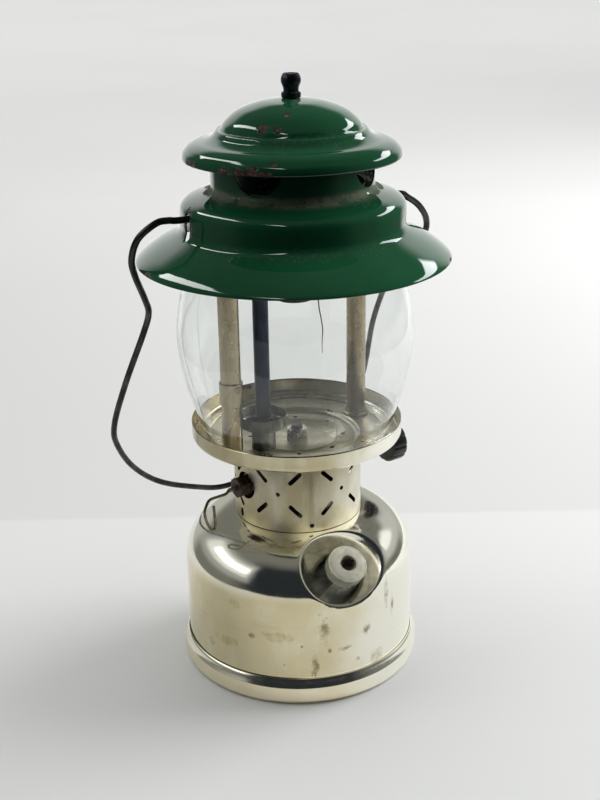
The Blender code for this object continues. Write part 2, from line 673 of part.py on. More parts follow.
def pump_pieces(place, finishes):
    """Barrel with its check valve and air stem, cap, and the plunger: leather, rod and knob."""
    bore = BARREL_RADIUS - BARREL_WALL
    floor = BARREL_WALL - BARREL_DEPTH
    turned("pump_barrel", [
        (BARREL_PORT_RADIUS, -BARREL_DEPTH), (BARREL_RADIUS, -BARREL_DEPTH),
        (BARREL_RADIUS, BARREL_HEIGHT), (bore, BARREL_HEIGHT), (bore, floor), (BARREL_PORT_RADIUS, floor),
    ], finishes["brass"], MEDIUM_STEPS, place)
    check_top = -BARREL_DEPTH - SEAT_GAP
    turned("pump_check_valve", [
        (0, check_top - CHECK_LENGTH), (CHECK_NOSE_RADIUS, check_top - CHECK_LENGTH),
        (CHECK_RADIUS, check_top - CHECK_LENGTH / 2), (CHECK_RADIUS, check_top), (0, check_top),
    ], finishes["brass"], SMALL_STEPS, place)
    turned("pump_air_stem", rod_outline(AIR_STEM_RADIUS, check_top + SEAT_GAP, AIR_STEM_TOP),
           finishes["steel"], SMALL_STEPS, place)
    skirt_low = dish_rise(PUMP_DISH_RADIUS, PUMP_CAP_RADIUS) + SEAT_GAP
    skirt_inner = BARREL_RADIUS + SEAT_GAP
    ceiling = PUMP_CAP_HEIGHT - PUMP_CAP_TOP
    rod_hole = ROD_RADIUS + SEAT_GAP
    turned("pump_cap", [
        (rod_hole, ceiling), (skirt_inner, ceiling), (skirt_inner, skirt_low), (PUMP_CAP_RADIUS, skirt_low),
        (PUMP_CAP_RADIUS, PUMP_CAP_HEIGHT - PUMP_CAP_CHAMFER),
        (PUMP_CAP_RADIUS - PUMP_CAP_CHAMFER, PUMP_CAP_HEIGHT), (rod_hole, PUMP_CAP_HEIGHT),
    ], finishes["cap_metal"], MEDIUM_STEPS, place)
    leather_low = floor + LEATHER_REST
    leather_outer = bore - LEATHER_CLEARANCE
    web = leather_low + LEATHER_THICKNESS - LEATHER_WALL
    turned("pump_leather", [
        (rod_hole, web), (leather_outer - LEATHER_WALL, web), (leather_outer - LEATHER_WALL, leather_low),
        (leather_outer, leather_low), (leather_outer, leather_low + LEATHER_THICKNESS),
        (rod_hole, leather_low + LEATHER_THICKNESS),
    ], finishes["leather"], MEDIUM_STEPS, place)
    turned("pump_rod", pipe_outline(ROD_RADIUS, ROD_BORE, leather_low + LEATHER_WALL, ROD_TOP),
           finishes["steel"], SMALL_STEPS, place)
    knob_low = ROD_TOP - PUMP_KNOB_HEIGHT / 2
    knob_top = knob_low + PUMP_KNOB_HEIGHT
    socket_top = ROD_TOP + SEAT_GAP
    turned("pump_knob", [
        (rod_hole, knob_low), (PUMP_KNOB_WAIST, knob_low), (PUMP_KNOB_RADIUS, knob_low + PUMP_KNOB_RIM),
        (PUMP_KNOB_RADIUS, knob_top - PUMP_KNOB_RIM), (PUMP_KNOB_WAIST, knob_top), (0, knob_top),
        (0, socket_top), (rod_hole, socket_top),
    ], finishes["dark_steel"], MEDIUM_STEPS, place)


def valve_line(azimuth):
    """Local Z runs outwards from the lantern's axis at the valve's height."""
    return frame_at(Vector((0, 0, VALVE_HEIGHT)), compass(azimuth, 1))


def valve_body(brass, generator):
    """One casting: column, control valve arm, cleaner arm and the generator's boss."""
    low = CROWN_HEIGHT + SEAT_GAP
    shoulder = PAN_MIDDLE - PAN_SHEET - SEAT_GAP
    thread_end = low - BODY_THREAD_DEPTH
    flange_top = low + BODY_FLANGE
    body = turned("valve_body", [
        (0, thread_end), (BODY_THREAD_RADIUS, thread_end), (BODY_THREAD_RADIUS, low),
        (BODY_FLANGE_RADIUS, low), (BODY_FLANGE_RADIUS, flange_top), (COLUMN_RADIUS, flange_top),
        (COLUMN_RADIUS, shoulder), (BODY_STUD_RADIUS, shoulder), (BODY_STUD_RADIUS, BODY_STUD_TOP),
        (0, BODY_STUD_TOP),
    ], brass, MEDIUM_STEPS)
    valve_place = valve_line(VALVE_AZIMUTH)
    cleaner_place = valve_line(CLEANER_AZIMUTH)
    boss_place = Matrix.Translation(generator)
    valve_arm = rod_outline(ARM_RADIUS, 0, VALVE_ARM_REACH)
    fuse(body, turned("valve_arm", valve_arm, None, MEDIUM_STEPS, valve_place))
    cleaner_arm = rod_outline(CLEANER_ARM_RADIUS, 0, CLEANER_ARM_REACH)
    fuse(body, turned("cleaner_arm", cleaner_arm, None, MEDIUM_STEPS, cleaner_place))
    boss = rod_outline(GENERATOR_BOSS_RADIUS, GENERATOR_BOSS_BOTTOM, GENERATOR_BOSS_TOP)
    fuse(body, turned("generator_boss", boss, None, MEDIUM_STEPS, boss_place))
    chamber = rod_outline(GENERATOR_RADIUS + SEAT_GAP, CHAMBER_FLOOR, GENERATOR_BOSS_TOP + OVERRUN)
    cut(body, turned("generator_chamber", chamber, None, MEDIUM_STEPS, boss_place))
    shaft_bore = rod_outline(SHAFT_RADIUS + SEAT_GAP, GENERATOR_OFFSET, CLEANER_ARM_REACH + OVERRUN)
    cut(body, turned("shaft_bore", shaft_bore, None, SMALL_STEPS, cleaner_place))
    stem_bore = rod_outline(STEM_RADIUS + STEM_CLEARANCE, STEM_START - SEAT_GAP, VALVE_ARM_REACH + OVERRUN)
    cut(body, turned("stem_bore", stem_bore, None, SMALL_STEPS, valve_place))
    pickup = Matrix.Translation(compass(PICKUP_AZIMUTH, PICKUP_OFFSET))
    socket_high = thread_end + PICKUP_SOCKET
    socket = rod_outline(PICKUP_RADIUS + SEAT_GAP, thread_end - OVERRUN, socket_high)
    cut(body, turned("pickup_socket", socket, None, SMALL_STEPS, pickup))
    tube = pipe_outline(PICKUP_RADIUS, PICKUP_BORE, PICKUP_BOTTOM, socket_high - SEAT_GAP)
    turned("fuel_pickup_tube", tube, brass, SMALL_STEPS, pickup)


def control_valve(finishes):
    """Stem with its point, packing nut, moulded knob and the screw that holds it."""
    line = valve_line(VALVE_AZIMUTH)
    turned("valve_stem", [
        (0, STEM_START), (STEM_RADIUS, STEM_START + STEM_POINT), (STEM_RADIUS, STEM_END), (0, STEM_END),
    ], finishes["steel"], SMALL_STEPS, line)
    nut_low = VALVE_ARM_REACH + SEAT_GAP
    hex_nut("valve_packing_nut", PACKING_FLATS, nut_low, nut_low + PACKING_LENGTH,
            STEM_RADIUS + STEM_CLEARANCE, finishes["brass"], line)
    knob_face = KNOB_BACK + KNOB_THICKNESS
    socket = STEM_END + SEAT_GAP
    recess = knob_face - KNOB_RECESS_DEPTH
    turned("valve_knob", [
        (0, socket), (0, recess), (KNOB_RECESS_RADIUS, recess), (KNOB_RECESS_RADIUS, knob_face),
        (KNOB_RADIUS - KNOB_CHAMFER, knob_face), (KNOB_RADIUS, knob_face - KNOB_CHAMFER),
        (KNOB_RADIUS, KNOB_BACK + KNOB_CHAMFER), (KNOB_RADIUS - KNOB_CHAMFER, KNOB_BACK),
        (KNOB_HUB_RADIUS, KNOB_BACK), (KNOB_HUB_RADIUS, KNOB_BACK - KNOB_HUB_LENGTH),
        (STEM_RADIUS + SEAT_GAP, KNOB_BACK - KNOB_HUB_LENGTH), (STEM_RADIUS + SEAT_GAP, socket),
    ], finishes["plastic"], KNOB_LOBES * 2, line, smooth=False)
    head_low = recess + SEAT_GAP
    screw = rod_outline(KNOB_SCREW_RADIUS, head_low, head_low + KNOB_SCREW_HEAD)
    turned("valve_knob_screw", screw, finishes["steel"], SMALL_STEPS, line)


def cleaner(finishes, generator):
    """The needle's crank shaft, its packing nut, the wire lever and the slotted needle."""
    line = valve_line(CLEANER_AZIMUTH)
    offset = line.inverted() @ Vector((generator.x, generator.y, VALVE_HEIGHT))
    tab_far = offset.z + TAB_THICKNESS / 2
    crank_near = tab_far + CRANK_GAP
    crank_far = crank_near + CRANK_THICKNESS
    shaft_outline = rod_outline(SHAFT_RADIUS, crank_near, SHAFT_END)
    shaft = turned("cleaner_shaft", shaft_outline, finishes["steel"], SMALL_STEPS, line)
    side = offset.x
    web_half = CRANK_PIN_RADIUS + SEAT_GAP
    corners = [(0, -SHAFT_RADIUS), (side, -web_half), (side, web_half), (0, SHAFT_RADIUS)]
    fuse(shaft, prism("crank_web", corners, crank_near, crank_far, None, line))
    pin_place = line @ Matrix.Translation((side, 0, 0))
    pin_low = offset.z - TAB_THICKNESS / 2 - CRANK_GAP
    pin = rod_outline(CRANK_PIN_RADIUS, pin_low, crank_far - SEAT_GAP)
    fuse(shaft, turned("crank_pin", pin, None, SMALL_STEPS, pin_place))
    nut_end = CLEANER_NUT_START + CLEANER_NUT_LENGTH
    hex_nut("cleaner_packing_nut", CLEANER_NUT_FLATS, CLEANER_NUT_START, nut_end,
            SHAFT_RADIUS + SEAT_GAP, finishes["dark_steel"], line)
    start = SHAFT_END + SEAT_GAP
    path = [Vector((0, 0, start)), Vector((0, -LEVER_SAG, (start + LEVER_OUT) / 2))]
    path += [Vector((0, -LEVER_DROP * y, LEVER_OUT - LEVER_LOOP_WIDTH * x)) for x, y in LEVER_SHARES]
    wire("cleaner_lever", smooth_path(path), LEVER_WIRE_RADIUS, finishes["steel"], line)
    tab_place = frame_at(Vector((generator.x, generator.y, VALVE_HEIGHT)), compass(CLEANER_AZIMUTH, 1))
    half = TAB_WIDTH / 2
    low = -TAB_HEIGHT / 2
    tab = prism("cleaning_needle", [(-half, low), (half, low), (half, -low), (-half, -low)],
                -TAB_THICKNESS / 2, TAB_THICKNESS / 2, finishes["steel"], tab_place)
    slot_half = TAB_SLOT_WIDTH / 2
    slot_high = TAB_SLOT_HEIGHT / 2
    slot = [(-slot_half, -slot_high), (slot_half, -slot_high)]
    slot += [(x, -y) for x, y in slot[::-1]]
    cut(tab, prism("needle_slot", slot, -OVERRUN, OVERRUN, None, tab_place))
    needle = rod_outline(NEEDLE_RADIUS, VALVE_HEIGHT + TAB_HEIGHT / 2 - NEEDLE_RADIUS, NEEDLE_TOP)
    fuse(tab, turned("needle_wire", needle, None, SMALL_STEPS, Matrix.Translation(generator)))


def generator_pieces(finishes, generator):
    """The vaporising tube, its nut and the spirit cup around its foot."""
    place = Matrix.Translation(generator)
    tube = pipe_outline(GENERATOR_RADIUS, GENERATOR_BORE, GENERATOR_BOTTOM, GENERATOR_TOP)
    turned("generator_tube", tube, finishes["blued_steel"], MEDIUM_STEPS, place)
    cup_low = GENERATOR_BOSS_TOP + SEAT_GAP
    cup_top = cup_low + CUP_HEIGHT
    cup_floor = cup_low + CUP_SHEET
    hole = GENERATOR_RADIUS + SEAT_GAP
    inner = CUP_RADIUS - CUP_SHEET
    turned("preheat_cup", [
        (hole, cup_low), (CUP_RADIUS - CUP_CURVE, cup_low), (CUP_RADIUS, cup_low + CUP_CURVE),
        (CUP_RADIUS, cup_top), (inner, cup_top), (inner, cup_low + CUP_CURVE),
        (inner - CUP_CURVE + CUP_SHEET / 2, cup_floor), (hole, cup_floor),
    ], finishes["dark_steel"], LARGE_STEPS // 2, place)
    nut_low = cup_floor + SEAT_GAP
    hex_nut("generator_nut", GENERATOR_NUT_FLATS, nut_low, nut_low + GENERATOR_NUT_HEIGHT, hole,
            finishes["dark_steel"], place, MEDIUM_STEPS)


def wrapped(x, y, radius, azimuth, height):
    """A flat pattern point wrapped onto a cylinder: x along the arc, y upwards."""
    return azimuth + x / radius * 180 / pi, height + y


def slot_cutters(collar):
    """Slots in crosses: each is a stadium outline wrapped round the collar and cut through."""
    inner = COLLAR_RADIUS - COLLAR_WALL - OVERRUN
    outer = COLLAR_RADIUS + OVERRUN
    half = SLOT_WIDTH / 2
    shape = bmesh.new()
    for index in range(CROSS_COUNT):
        azimuth = CROSS_FIRST_AZIMUTH + index * 360 / CROSS_COUNT
        for quadrant in range(4):
            lean = pi / 4 + quadrant * pi / 2
            reach = Vector((cos(lean), sin(lean)))
            middle = reach * (SLOT_INNER + SLOT_LENGTH / 2)
            centre_azimuth, _ = wrapped(middle.x, middle.y, COLLAR_RADIUS, azimuth, CROSS_HEIGHT)
            if slot_is_lost(centre_azimuth, middle.y):
                continue
            outline = []
            for end in (-1, 1):
                for point in range(SLOT_END_POINTS + 1):
                    turn = lean + end * pi / 2 + pi * point / SLOT_END_POINTS
                    centre = middle + reach * end * -(SLOT_LENGTH / 2 - half)
                    outline.append(centre + half * Vector((cos(turn), sin(turn))))
            add_wrapped_prism(shape, outline, azimuth, inner, outer)
    tool = mesh_object("collar_slots", shape, None, Matrix(), smooth=False)
    cut(collar, tool)


def slot_is_lost(azimuth, rise):
    """Whether a slot's middle falls on the port that the packing nut comes out of."""
    arc = radians((azimuth - CLEANER_AZIMUTH + 180) % 360 - 180) * COLLAR_RADIUS
    return sqrt(arc ** 2 + (CROSS_HEIGHT + rise - VALVE_HEIGHT) ** 2) < COLLAR_PORT_RADIUS + SLOT_WIDTH


def add_wrapped_prism(shape, outline, azimuth, inner, outer):
    """Add a closed prism through the collar's wall to a bmesh."""
    rings = []
    for radius in (inner, outer):
        ring = []
        for x, y in outline:
            turn, height = wrapped(x, y, COLLAR_RADIUS, azimuth, CROSS_HEIGHT)
            ring.append(shape.verts.new(compass(turn, radius, height)))
        rings.append(ring)
    near, far = rings
    shape.faces.new(near[::-1])
    shape.faces.new(far)
    for index in range(len(near)):
        following = (index + 1) % len(near)
        shape.faces.new((near[index], near[following], far[following], far[index]))


def drill_through(target, name, azimuth, height, radius, wall_radius, wall, steps=SMALL_STEPS):
    """Cut one round hole through a round wall."""
    line = frame_at(Vector((0, 0, height)), compass(azimuth, 1))
    outline = rod_outline(radius, wall_radius - wall - 2 * OVERRUN, wall_radius + OVERRUN)
    cut(target, turned(name, outline, None, steps, line))


def drill_collar(band, name, azimuth, height, radius, steps=SMALL_STEPS):
    drill_through(band, name, azimuth, height, radius, COLLAR_RADIUS, COLLAR_WALL, steps)


def collar(nickel):
    """The band between fount and pan, with its crosses of slots and its two ports."""
    low = CROWN_HEIGHT + SEAT_GAP
    high = PAN_FLOOR - PAN_SHEET - SEAT_GAP
    sheet = pipe_outline(COLLAR_RADIUS, COLLAR_RADIUS - COLLAR_WALL, low, high)
    band = turned("collar", sheet, nickel, LARGE_STEPS)
    slot_cutters(band)
    drill_collar(band, "nut_port", CLEANER_AZIMUTH, VALVE_HEIGHT, COLLAR_PORT_RADIUS, MEDIUM_STEPS)
    drill_collar(band, "stem_port", VALVE_AZIMUTH, VALVE_HEIGHT, COLLAR_STEM_PORT_RADIUS)
    for index in range(CROSS_COUNT):
        azimuth = CROSS_FIRST_AZIMUTH + index * 360 / CROSS_COUNT
        drill_collar(band, f"cross_dot_{index}", azimuth, CROSS_HEIGHT, CROSS_DOT_RADIUS)
    for index in range(LOW_DOT_COUNT):
        azimuth = CROSS_FIRST_AZIMUTH + 180 / CROSS_COUNT + index * 360 / LOW_DOT_COUNT
        drill_collar(band, f"low_dot_{index}", azimuth, LOW_DOT_HEIGHT, LOW_DOT_RADIUS)
    oval_place = frame_at(Vector((0, 0, OVAL_HEIGHT)), compass(OVAL_AZIMUTH, 1))
    oval_place = oval_place @ Matrix.Diagonal((OVAL_WIDTH / OVAL_LENGTH, 1, 1, 1))
    reach = rod_outline(OVAL_LENGTH / 2, COLLAR_RADIUS - COLLAR_WALL - OVERRUN, COLLAR_RADIUS + OVERRUN)
    cut(band, turned("oval_port", reach, None, SMALL_STEPS, oval_place))


def globe_pan(nickel, generator):
    """The pan that holds the globe: rolled rim, floor and a pressed middle with air holes."""
    step_outer = COLLAR_RADIUS + PAN_STEP_RUN / 4
    step_inner = COLLAR_RADIUS - COLLAR_WALL - PAN_STEP_RUN
    under = PAN_FLOOR - PAN_SHEET
    middle_under = PAN_MIDDLE - PAN_SHEET
    wall_inner = PAN_RADIUS - PAN_SHEET
    hole = BODY_STUD_RADIUS + SEAT_GAP
    pan = turned("globe_pan", [
        (hole, middle_under), (step_inner - PAN_SHEET / 2, middle_under),
        (step_outer - PAN_STEP_RUN, under), (PAN_RADIUS - PAN_CURVE, under),
        (PAN_RADIUS - PAN_CURVE / 4, under + PAN_CURVE / 2), (PAN_RADIUS, under + PAN_CURVE),
        (PAN_RADIUS, PAN_RIM_TOP - PAN_LIP), (PAN_RADIUS - PAN_LIP / 2, PAN_RIM_TOP),
        (wall_inner, PAN_RIM_TOP - PAN_LIP / 2), (wall_inner, PAN_FLOOR + PAN_CURVE / 2),
        (wall_inner - PAN_CURVE / 2, PAN_FLOOR), (step_outer, PAN_FLOOR),
        (step_inner, PAN_MIDDLE), (hole, PAN_MIDDLE),
    ], nickel, LARGE_STEPS)
    low = middle_under - OVERRUN
    high = PAN_FLOOR + OVERRUN
    boss_hole = rod_outline(GENERATOR_BOSS_RADIUS + SEAT_GAP, low, high)
    cut(pan, turned("boss_hole", boss_hole, None, MEDIUM_STEPS, Matrix.Translation(generator)))
    for index in range(PAN_HOLE_COUNT):
        azimuth = PAN_HOLE_FIRST_AZIMUTH + index * 360 / PAN_HOLE_COUNT
        place = compass(azimuth, PAN_HOLE_RING)
        if (place - generator).length < GENERATOR_BOSS_RADIUS + PAN_HOLE_RADIUS:
            continue
        air_hole = rod_outline(PAN_HOLE_RADIUS, low, high)
        cut(pan, turned(f"air_hole_{index}", air_hole, None, SMALL_STEPS, Matrix.Translation(place)))
    nut_low = PAN_MIDDLE + SEAT_GAP
    hex_nut("pan_nut", PLATE_NUT_FLATS, nut_low, nut_low + PLATE_NUT_HEIGHT, hole, nickel,
            bore_steps=MEDIUM_STEPS)


def frame_tubes(finishes):
    """Air tube with its clamp sleeve on the left, support tube in its foot on the right."""
    socket_floor = MANIFOLD_HEIGHT - SOCKET_DROP + SOCKET_DEPTH
    top = socket_floor - SEAT_GAP
    bore = TUBE_RADIUS - TUBE_WALL
    left = Matrix.Translation(compass(CLEANER_AZIMUTH, TUBE_RING))
    right = Matrix.Translation(compass(CLEANER_AZIMUTH + 180, TUBE_RING))
    low = PAN_FLOOR + SEAT_GAP
    tube = pipe_outline(TUBE_RADIUS, bore, low, top)
    metal = finishes["tube_metal"]
    turned("air_tube", tube, metal, MEDIUM_STEPS, left)
    turned("support_tube", tube, metal, MEDIUM_STEPS, right)
    clear = TUBE_RADIUS + SEAT_GAP
    sleeve_radius = clear + SLEEVE_WALL
    foot_top = low + FOOT_FLANGE_HEIGHT
    foot = turned("support_foot", [
        (clear, low), (FOOT_FLANGE_RADIUS, low), (FOOT_FLANGE_RADIUS, low + FOOT_FLANGE_HEIGHT / 4),
        (sleeve_radius, low + FOOT_FLANGE_HEIGHT / 2), (sleeve_radius, foot_top), (clear, foot_top),
    ], metal, MEDIUM_STEPS, right)
    globe_foot = GLOBE_RADIUS * GLOBE_SHARES[0][0] - GLOBE_WALL - SEAT_GAP
    room = pipe_outline(PAN_RADIUS, globe_foot, low - OVERRUN, foot_top + OVERRUN)
    cut(foot, turned("globe_room", room, None, LARGE_STEPS))
    clamp = pipe_outline(sleeve_radius, clear, SLEEVE_BOTTOM, SLEEVE_BOTTOM + SLEEVE_HEIGHT)
    sleeve = turned("tube_sleeve", clamp, metal, MEDIUM_STEPS, left)
    stud_place = left @ frame_at(Vector((0, 0, SLEEVE_STUD_HEIGHT)), Vector((1, 0, 0)))
    stud = rod_outline(SLEEVE_STUD_RADIUS, clear + SLEEVE_WALL / 4, sleeve_radius + SLEEVE_STUD_LENGTH)
    fuse(sleeve, turned("sleeve_stud", stud, None, SMALL_STEPS, stud_place))


def burner(finishes, generator):
    """The mixing chamber across the tubes, with sockets for tubes, generator and stud."""
    along = frame_at(Vector((0, 0, MANIFOLD_HEIGHT)), compass(CLEANER_AZIMUTH, 1))
    reach = TUBE_RING + TUBE_RADIUS
    shoulder = reach - MANIFOLD_CURVE
    nose = MANIFOLD_RADIUS - MANIFOLD_CURVE
    frame = turned("burner_frame", [
        (0, -reach), (nose, -reach), (MANIFOLD_RADIUS, -shoulder),
        (MANIFOLD_RADIUS, shoulder), (nose, reach), (0, reach),
    ], finishes["cast_iron"], MEDIUM_STEPS, along)
    socket_bottom = MANIFOLD_HEIGHT - SOCKET_DROP
    socket_top = MANIFOLD_HEIGHT + SOCKET_RISE
    clear = TUBE_RADIUS + SEAT_GAP
    for name, side in (("air", 0), ("support", 180)):
        place = Matrix.Translation(compass(CLEANER_AZIMUTH + side, TUBE_RING))
        socket = rod_outline(SOCKET_RADIUS, socket_bottom, socket_top)
        bore = rod_outline(clear, socket_bottom - OVERRUN, socket_bottom + SOCKET_DEPTH)
        fuse(frame, turned(f"{name}_socket", socket, None, MEDIUM_STEPS, place))
        cut(frame, turned(f"{name}_socket_bore", bore, None, MEDIUM_STEPS, place))
    tip = Matrix.Translation(generator)
    socket = rod_outline(GENERATOR_BOSS_RADIUS, socket_bottom, socket_top)
    bore = rod_outline(GENERATOR_RADIUS + SEAT_GAP, socket_bottom - OVERRUN, GENERATOR_TOP + SEAT_GAP)
    fuse(frame, turned("generator_socket", socket, None, MEDIUM_STEPS, tip))
    cut(frame, turned("generator_socket_bore", bore, None, MEDIUM_STEPS, tip))
    burner_tube = rod_outline(BURNER_TUBE_RADIUS, BURNER_TUBE_BOTTOM, socket_top)
    fuse(frame, turned("burner_tube", burner_tube, None, MEDIUM_STEPS))
    manifold_top = MANIFOLD_HEIGHT + MANIFOLD_RADIUS
    stud_socket = rod_outline(STUD_RADIUS + SEAT_GAP, manifold_top - STUD_SOCKET, manifold_top + OVERRUN)
    cut(frame, turned("stud_socket", stud_socket, None, SMALL_STEPS))
    inner = BURNER_TUBE_RADIUS + SEAT_GAP
    cavity = BURNER_CAP_RADIUS - BURNER_CAP_WALL
    ledge = BURNER_TUBE_BOTTOM - SEAT_GAP
    groove_low = BURNER_GROOVE_HEIGHT - BURNER_GROOVE_WIDTH / 2
    groove_high = BURNER_GROOVE_HEIGHT + BURNER_GROOVE_WIDTH / 2
    groove = BURNER_CAP_RADIUS - BURNER_GROOVE_DEPTH
    turned("burner_cap", [
        (inner, BURNER_CAP_TOP), (inner, ledge), (inner - 2 * BURNER_CAP_WALL, ledge),
        (inner - 2 * BURNER_CAP_WALL, BURNER_CAP_BOTTOM), (cavity + BURNER_CAP_WALL / 2, BURNER_CAP_BOTTOM),
        (BURNER_CAP_RADIUS, BURNER_CAP_BOTTOM + BURNER_CAP_WALL), (BURNER_CAP_RADIUS, groove_low),
        (groove, groove_low), (groove, groove_high), (BURNER_CAP_RADIUS, groove_high),
        (BURNER_CAP_RADIUS, BURNER_CAP_TOP - BURNER_CAP_WALL), (cavity, BURNER_CAP_TOP),
    ], finishes["cast_iron"], MEDIUM_STEPS)
    ring_radius = groove + TIE_RADIUS + TIE_RING_CLEARANCE
    turns = [360 * index / TIE_POINTS for index in range(TIE_POINTS)]
    ring = [compass(turn, ring_radius, BURNER_GROOVE_HEIGHT) for turn in turns]
    wire("mantle_tie_loop", ring, TIE_RADIUS, finishes["string"], cyclic=True, resolution=0)
    route = smooth_path([Vector((x, y, BURNER_GROOVE_HEIGHT - drop)) for x, y, drop in STRING_ROUTE])
    wire("mantle_tie_string", route, STRING_RADIUS, finishes["string"], resolution=CORD_RESOLUTION)


def bail_bracket(steel):
    """A flat strap on the frame with an upturned ear at each end for the bail."""
    low = MANIFOLD_HEIGHT + MANIFOLD_RADIUS + SEAT_GAP
    place = frame_at(Vector((0, 0, 0)), compass(BAIL_AZIMUTH + 90, 1))
    inner = EAR_REACH - BRACKET_THICKNESS
    half = BRACKET_WIDTH / 2
    strap_top = low + BRACKET_THICKNESS
    strap = prism("bail_bracket", [
        (-EAR_REACH, low), (EAR_REACH, low), (EAR_REACH, EAR_TOP), (inner, EAR_TOP),
        (inner, strap_top), (-inner, strap_top), (-inner, EAR_TOP), (-EAR_REACH, EAR_TOP),
    ], -half, half, steel, place)
    hinge = frame_at(HINGE_POINT, compass(BAIL_AZIMUTH, 1))
    hole = BAIL_WIRE_RADIUS + BAIL_CLEARANCE
    reach = EAR_REACH + OVERRUN
    cut(strap, turned("ear_holes", rod_outline(hole, -reach, reach), None, SMALL_STEPS, hinge))
    stud_hole = rod_outline(STUD_RADIUS + SEAT_GAP, low - OVERRUN, strap_top + OVERRUN)
    cut(strap, turned("strap_hole", stud_hole, None, SMALL_STEPS))
    return strap_top


def vent_stud(finishes, strap_top):
    """The stud that clamps the hood, the nut on the strap, and the baffle on its own nut."""
    stud_low = MANIFOLD_HEIGHT + MANIFOLD_RADIUS - STUD_SOCKET + SEAT_GAP
    turned("vent_stud", rod_outline(STUD_RADIUS, stud_low, STUD_TOP), finishes["steel"], SMALL_STEPS)
    bore = STUD_RADIUS + SEAT_GAP
    nut_low = strap_top + SEAT_GAP
    hex_nut("strap_nut", STUD_NUT_FLATS, nut_low, nut_low + STUD_NUT_HEIGHT, bore, finishes["steel"])
    hex_nut("baffle_nut", STUD_NUT_FLATS, BAFFLE_NUT_BOTTOM, BAFFLE_NUT_BOTTOM + BAFFLE_NUT_HEIGHT, bore,
            finishes["steel"])
    under = BAFFLE_NUT_BOTTOM + BAFFLE_NUT_HEIGHT + SEAT_GAP
    top = under + BAFFLE_SHEET
    turned("vent_baffle", [
        (bore, under), (BAFFLE_FLAT, under), (BAFFLE_RADIUS, under - BAFFLE_DROP),
        (BAFFLE_RADIUS, top - BAFFLE_DROP), (BAFFLE_FLAT, top), (bore, top),
    ], finishes["dark_enamel"], LARGE_STEPS // 2)


def sheet_outline(points, sheet):
    """Close an outer outline into a sheet by stepping each point inwards by its normal."""
    inner = []
    count = len(points)
    for index, (radius, height) in enumerate(points):
        before = points[max(index - 1, 0)]
        after = points[min(index + 1, count - 1)]
        run = Vector((after[0] - before[0], after[1] - before[1])).normalized()
        inner.append((radius - run.y * sheet, height + run.x * sheet))
    return points + inner[::-1]


def hood(enamel):
    """The lower tier: brim, drum, sloping shelf and the vented neck."""
    brim_run = BRIM_RADIUS - DRUM_RADIUS
    brim_rise = DRUM_BOTTOM - BRIM_EDGE
    points = [(BRIM_RADIUS - brim_run * x, BRIM_EDGE + brim_rise * y) for x, y in BRIM_SHARES]
    points += [(DRUM_RADIUS, DRUM_BOTTOM), (DRUM_RADIUS, DRUM_TOP)]
    shelf_run = DRUM_RADIUS - NECK_TUBE_RADIUS
    points += [(DRUM_RADIUS - shelf_run * x, DRUM_TOP + SHELF_RISE * y) for x, y in SHELF_SHARES]
    points += [(NECK_TUBE_RADIUS, NECK_TUBE_TOP)]
    lower = turned("hood", sheet_outline(points, HOOD_SHEET), enamel, LARGE_STEPS)
    vent_height = VENT_BOTTOM + VENT_RADIUS
    for index in range(VENT_COUNT):
        azimuth = VENT_FIRST_AZIMUTH + index * 360 / VENT_COUNT
        drill_through(lower, f"vent_{index}", azimuth, vent_height, VENT_RADIUS, NECK_TUBE_RADIUS,
                      HOOD_SHEET, MEDIUM_STEPS)
    half = BAIL_SLOT_WIDTH / 2
    top = BAIL_SLOT_TOP - BAIL_HEIGHT
    bottom = DRUM_BOTTOM - BAIL_HEIGHT
    corners = [(-half, bottom + half), (-half / 2, bottom), (half / 2, bottom), (half, bottom + half),
               (half, top - half), (half / 2, top), (-half / 2, top), (-half, top - half)]
    near = DRUM_RADIUS - HOOD_SHEET - 2 * OVERRUN
    for name, azimuth in (("left", BAIL_AZIMUTH + 180), ("right", BAIL_AZIMUTH)):
        hinge = frame_at(HINGE_POINT, compass(azimuth, 1))
        cut(lower, prism(f"bail_slot_{name}", corners, near, DRUM_RADIUS + OVERRUN, None, hinge))


def hood_cap(enamel):
    """The upper tier: a dome inside a rolled skirt."""
    points = [(DOME_HOLE_RADIUS, DOME_TOP)]
    points += [(DOME_RADIUS * x, DOME_BASE + DOME_RISE * y) for x, y in DOME_SHARES]
    run = SKIRT_RADIUS - DOME_RADIUS
    points += [(DOME_RADIUS + run * x, DOME_BASE - SKIRT_FALL * y) for x, y in SKIRT_SHARES]
    turned("hood_cap", sheet_outline(points[::-1], HOOD_CAP_SHEET), enamel, LARGE_STEPS)


def ball_nut(steel):
    """The turned ball nut on top, with its blind thread."""
    place = Matrix.Translation((0, 0, DOME_TOP + SEAT_GAP))
    bore = STUD_RADIUS + SEAT_GAP
    outline = [(bore, 0), (BALL_COLLAR_RADIUS, 0), (BALL_COLLAR_RADIUS, BALL_COLLAR_HEIGHT),
               (BALL_WAIST, BALL_COLLAR_HEIGHT + SEAT_GAP)]
    lowest = -sqrt(BALL_RADIUS ** 2 - BALL_WAIST ** 2)
    highest = BALL_TOP - BALL_HEIGHT
    for index in range(BALL_POINTS):
        rise = lowest + (highest - lowest) * index / (BALL_POINTS - 1)
        outline.append((sqrt(BALL_RADIUS ** 2 - rise ** 2), BALL_HEIGHT + rise))
    outline += [(0, BALL_TOP), (0, BALL_BORE_DEPTH), (bore, BALL_BORE_DEPTH)]
    turned("ball_nut", outline, steel, MEDIUM_STEPS, place)


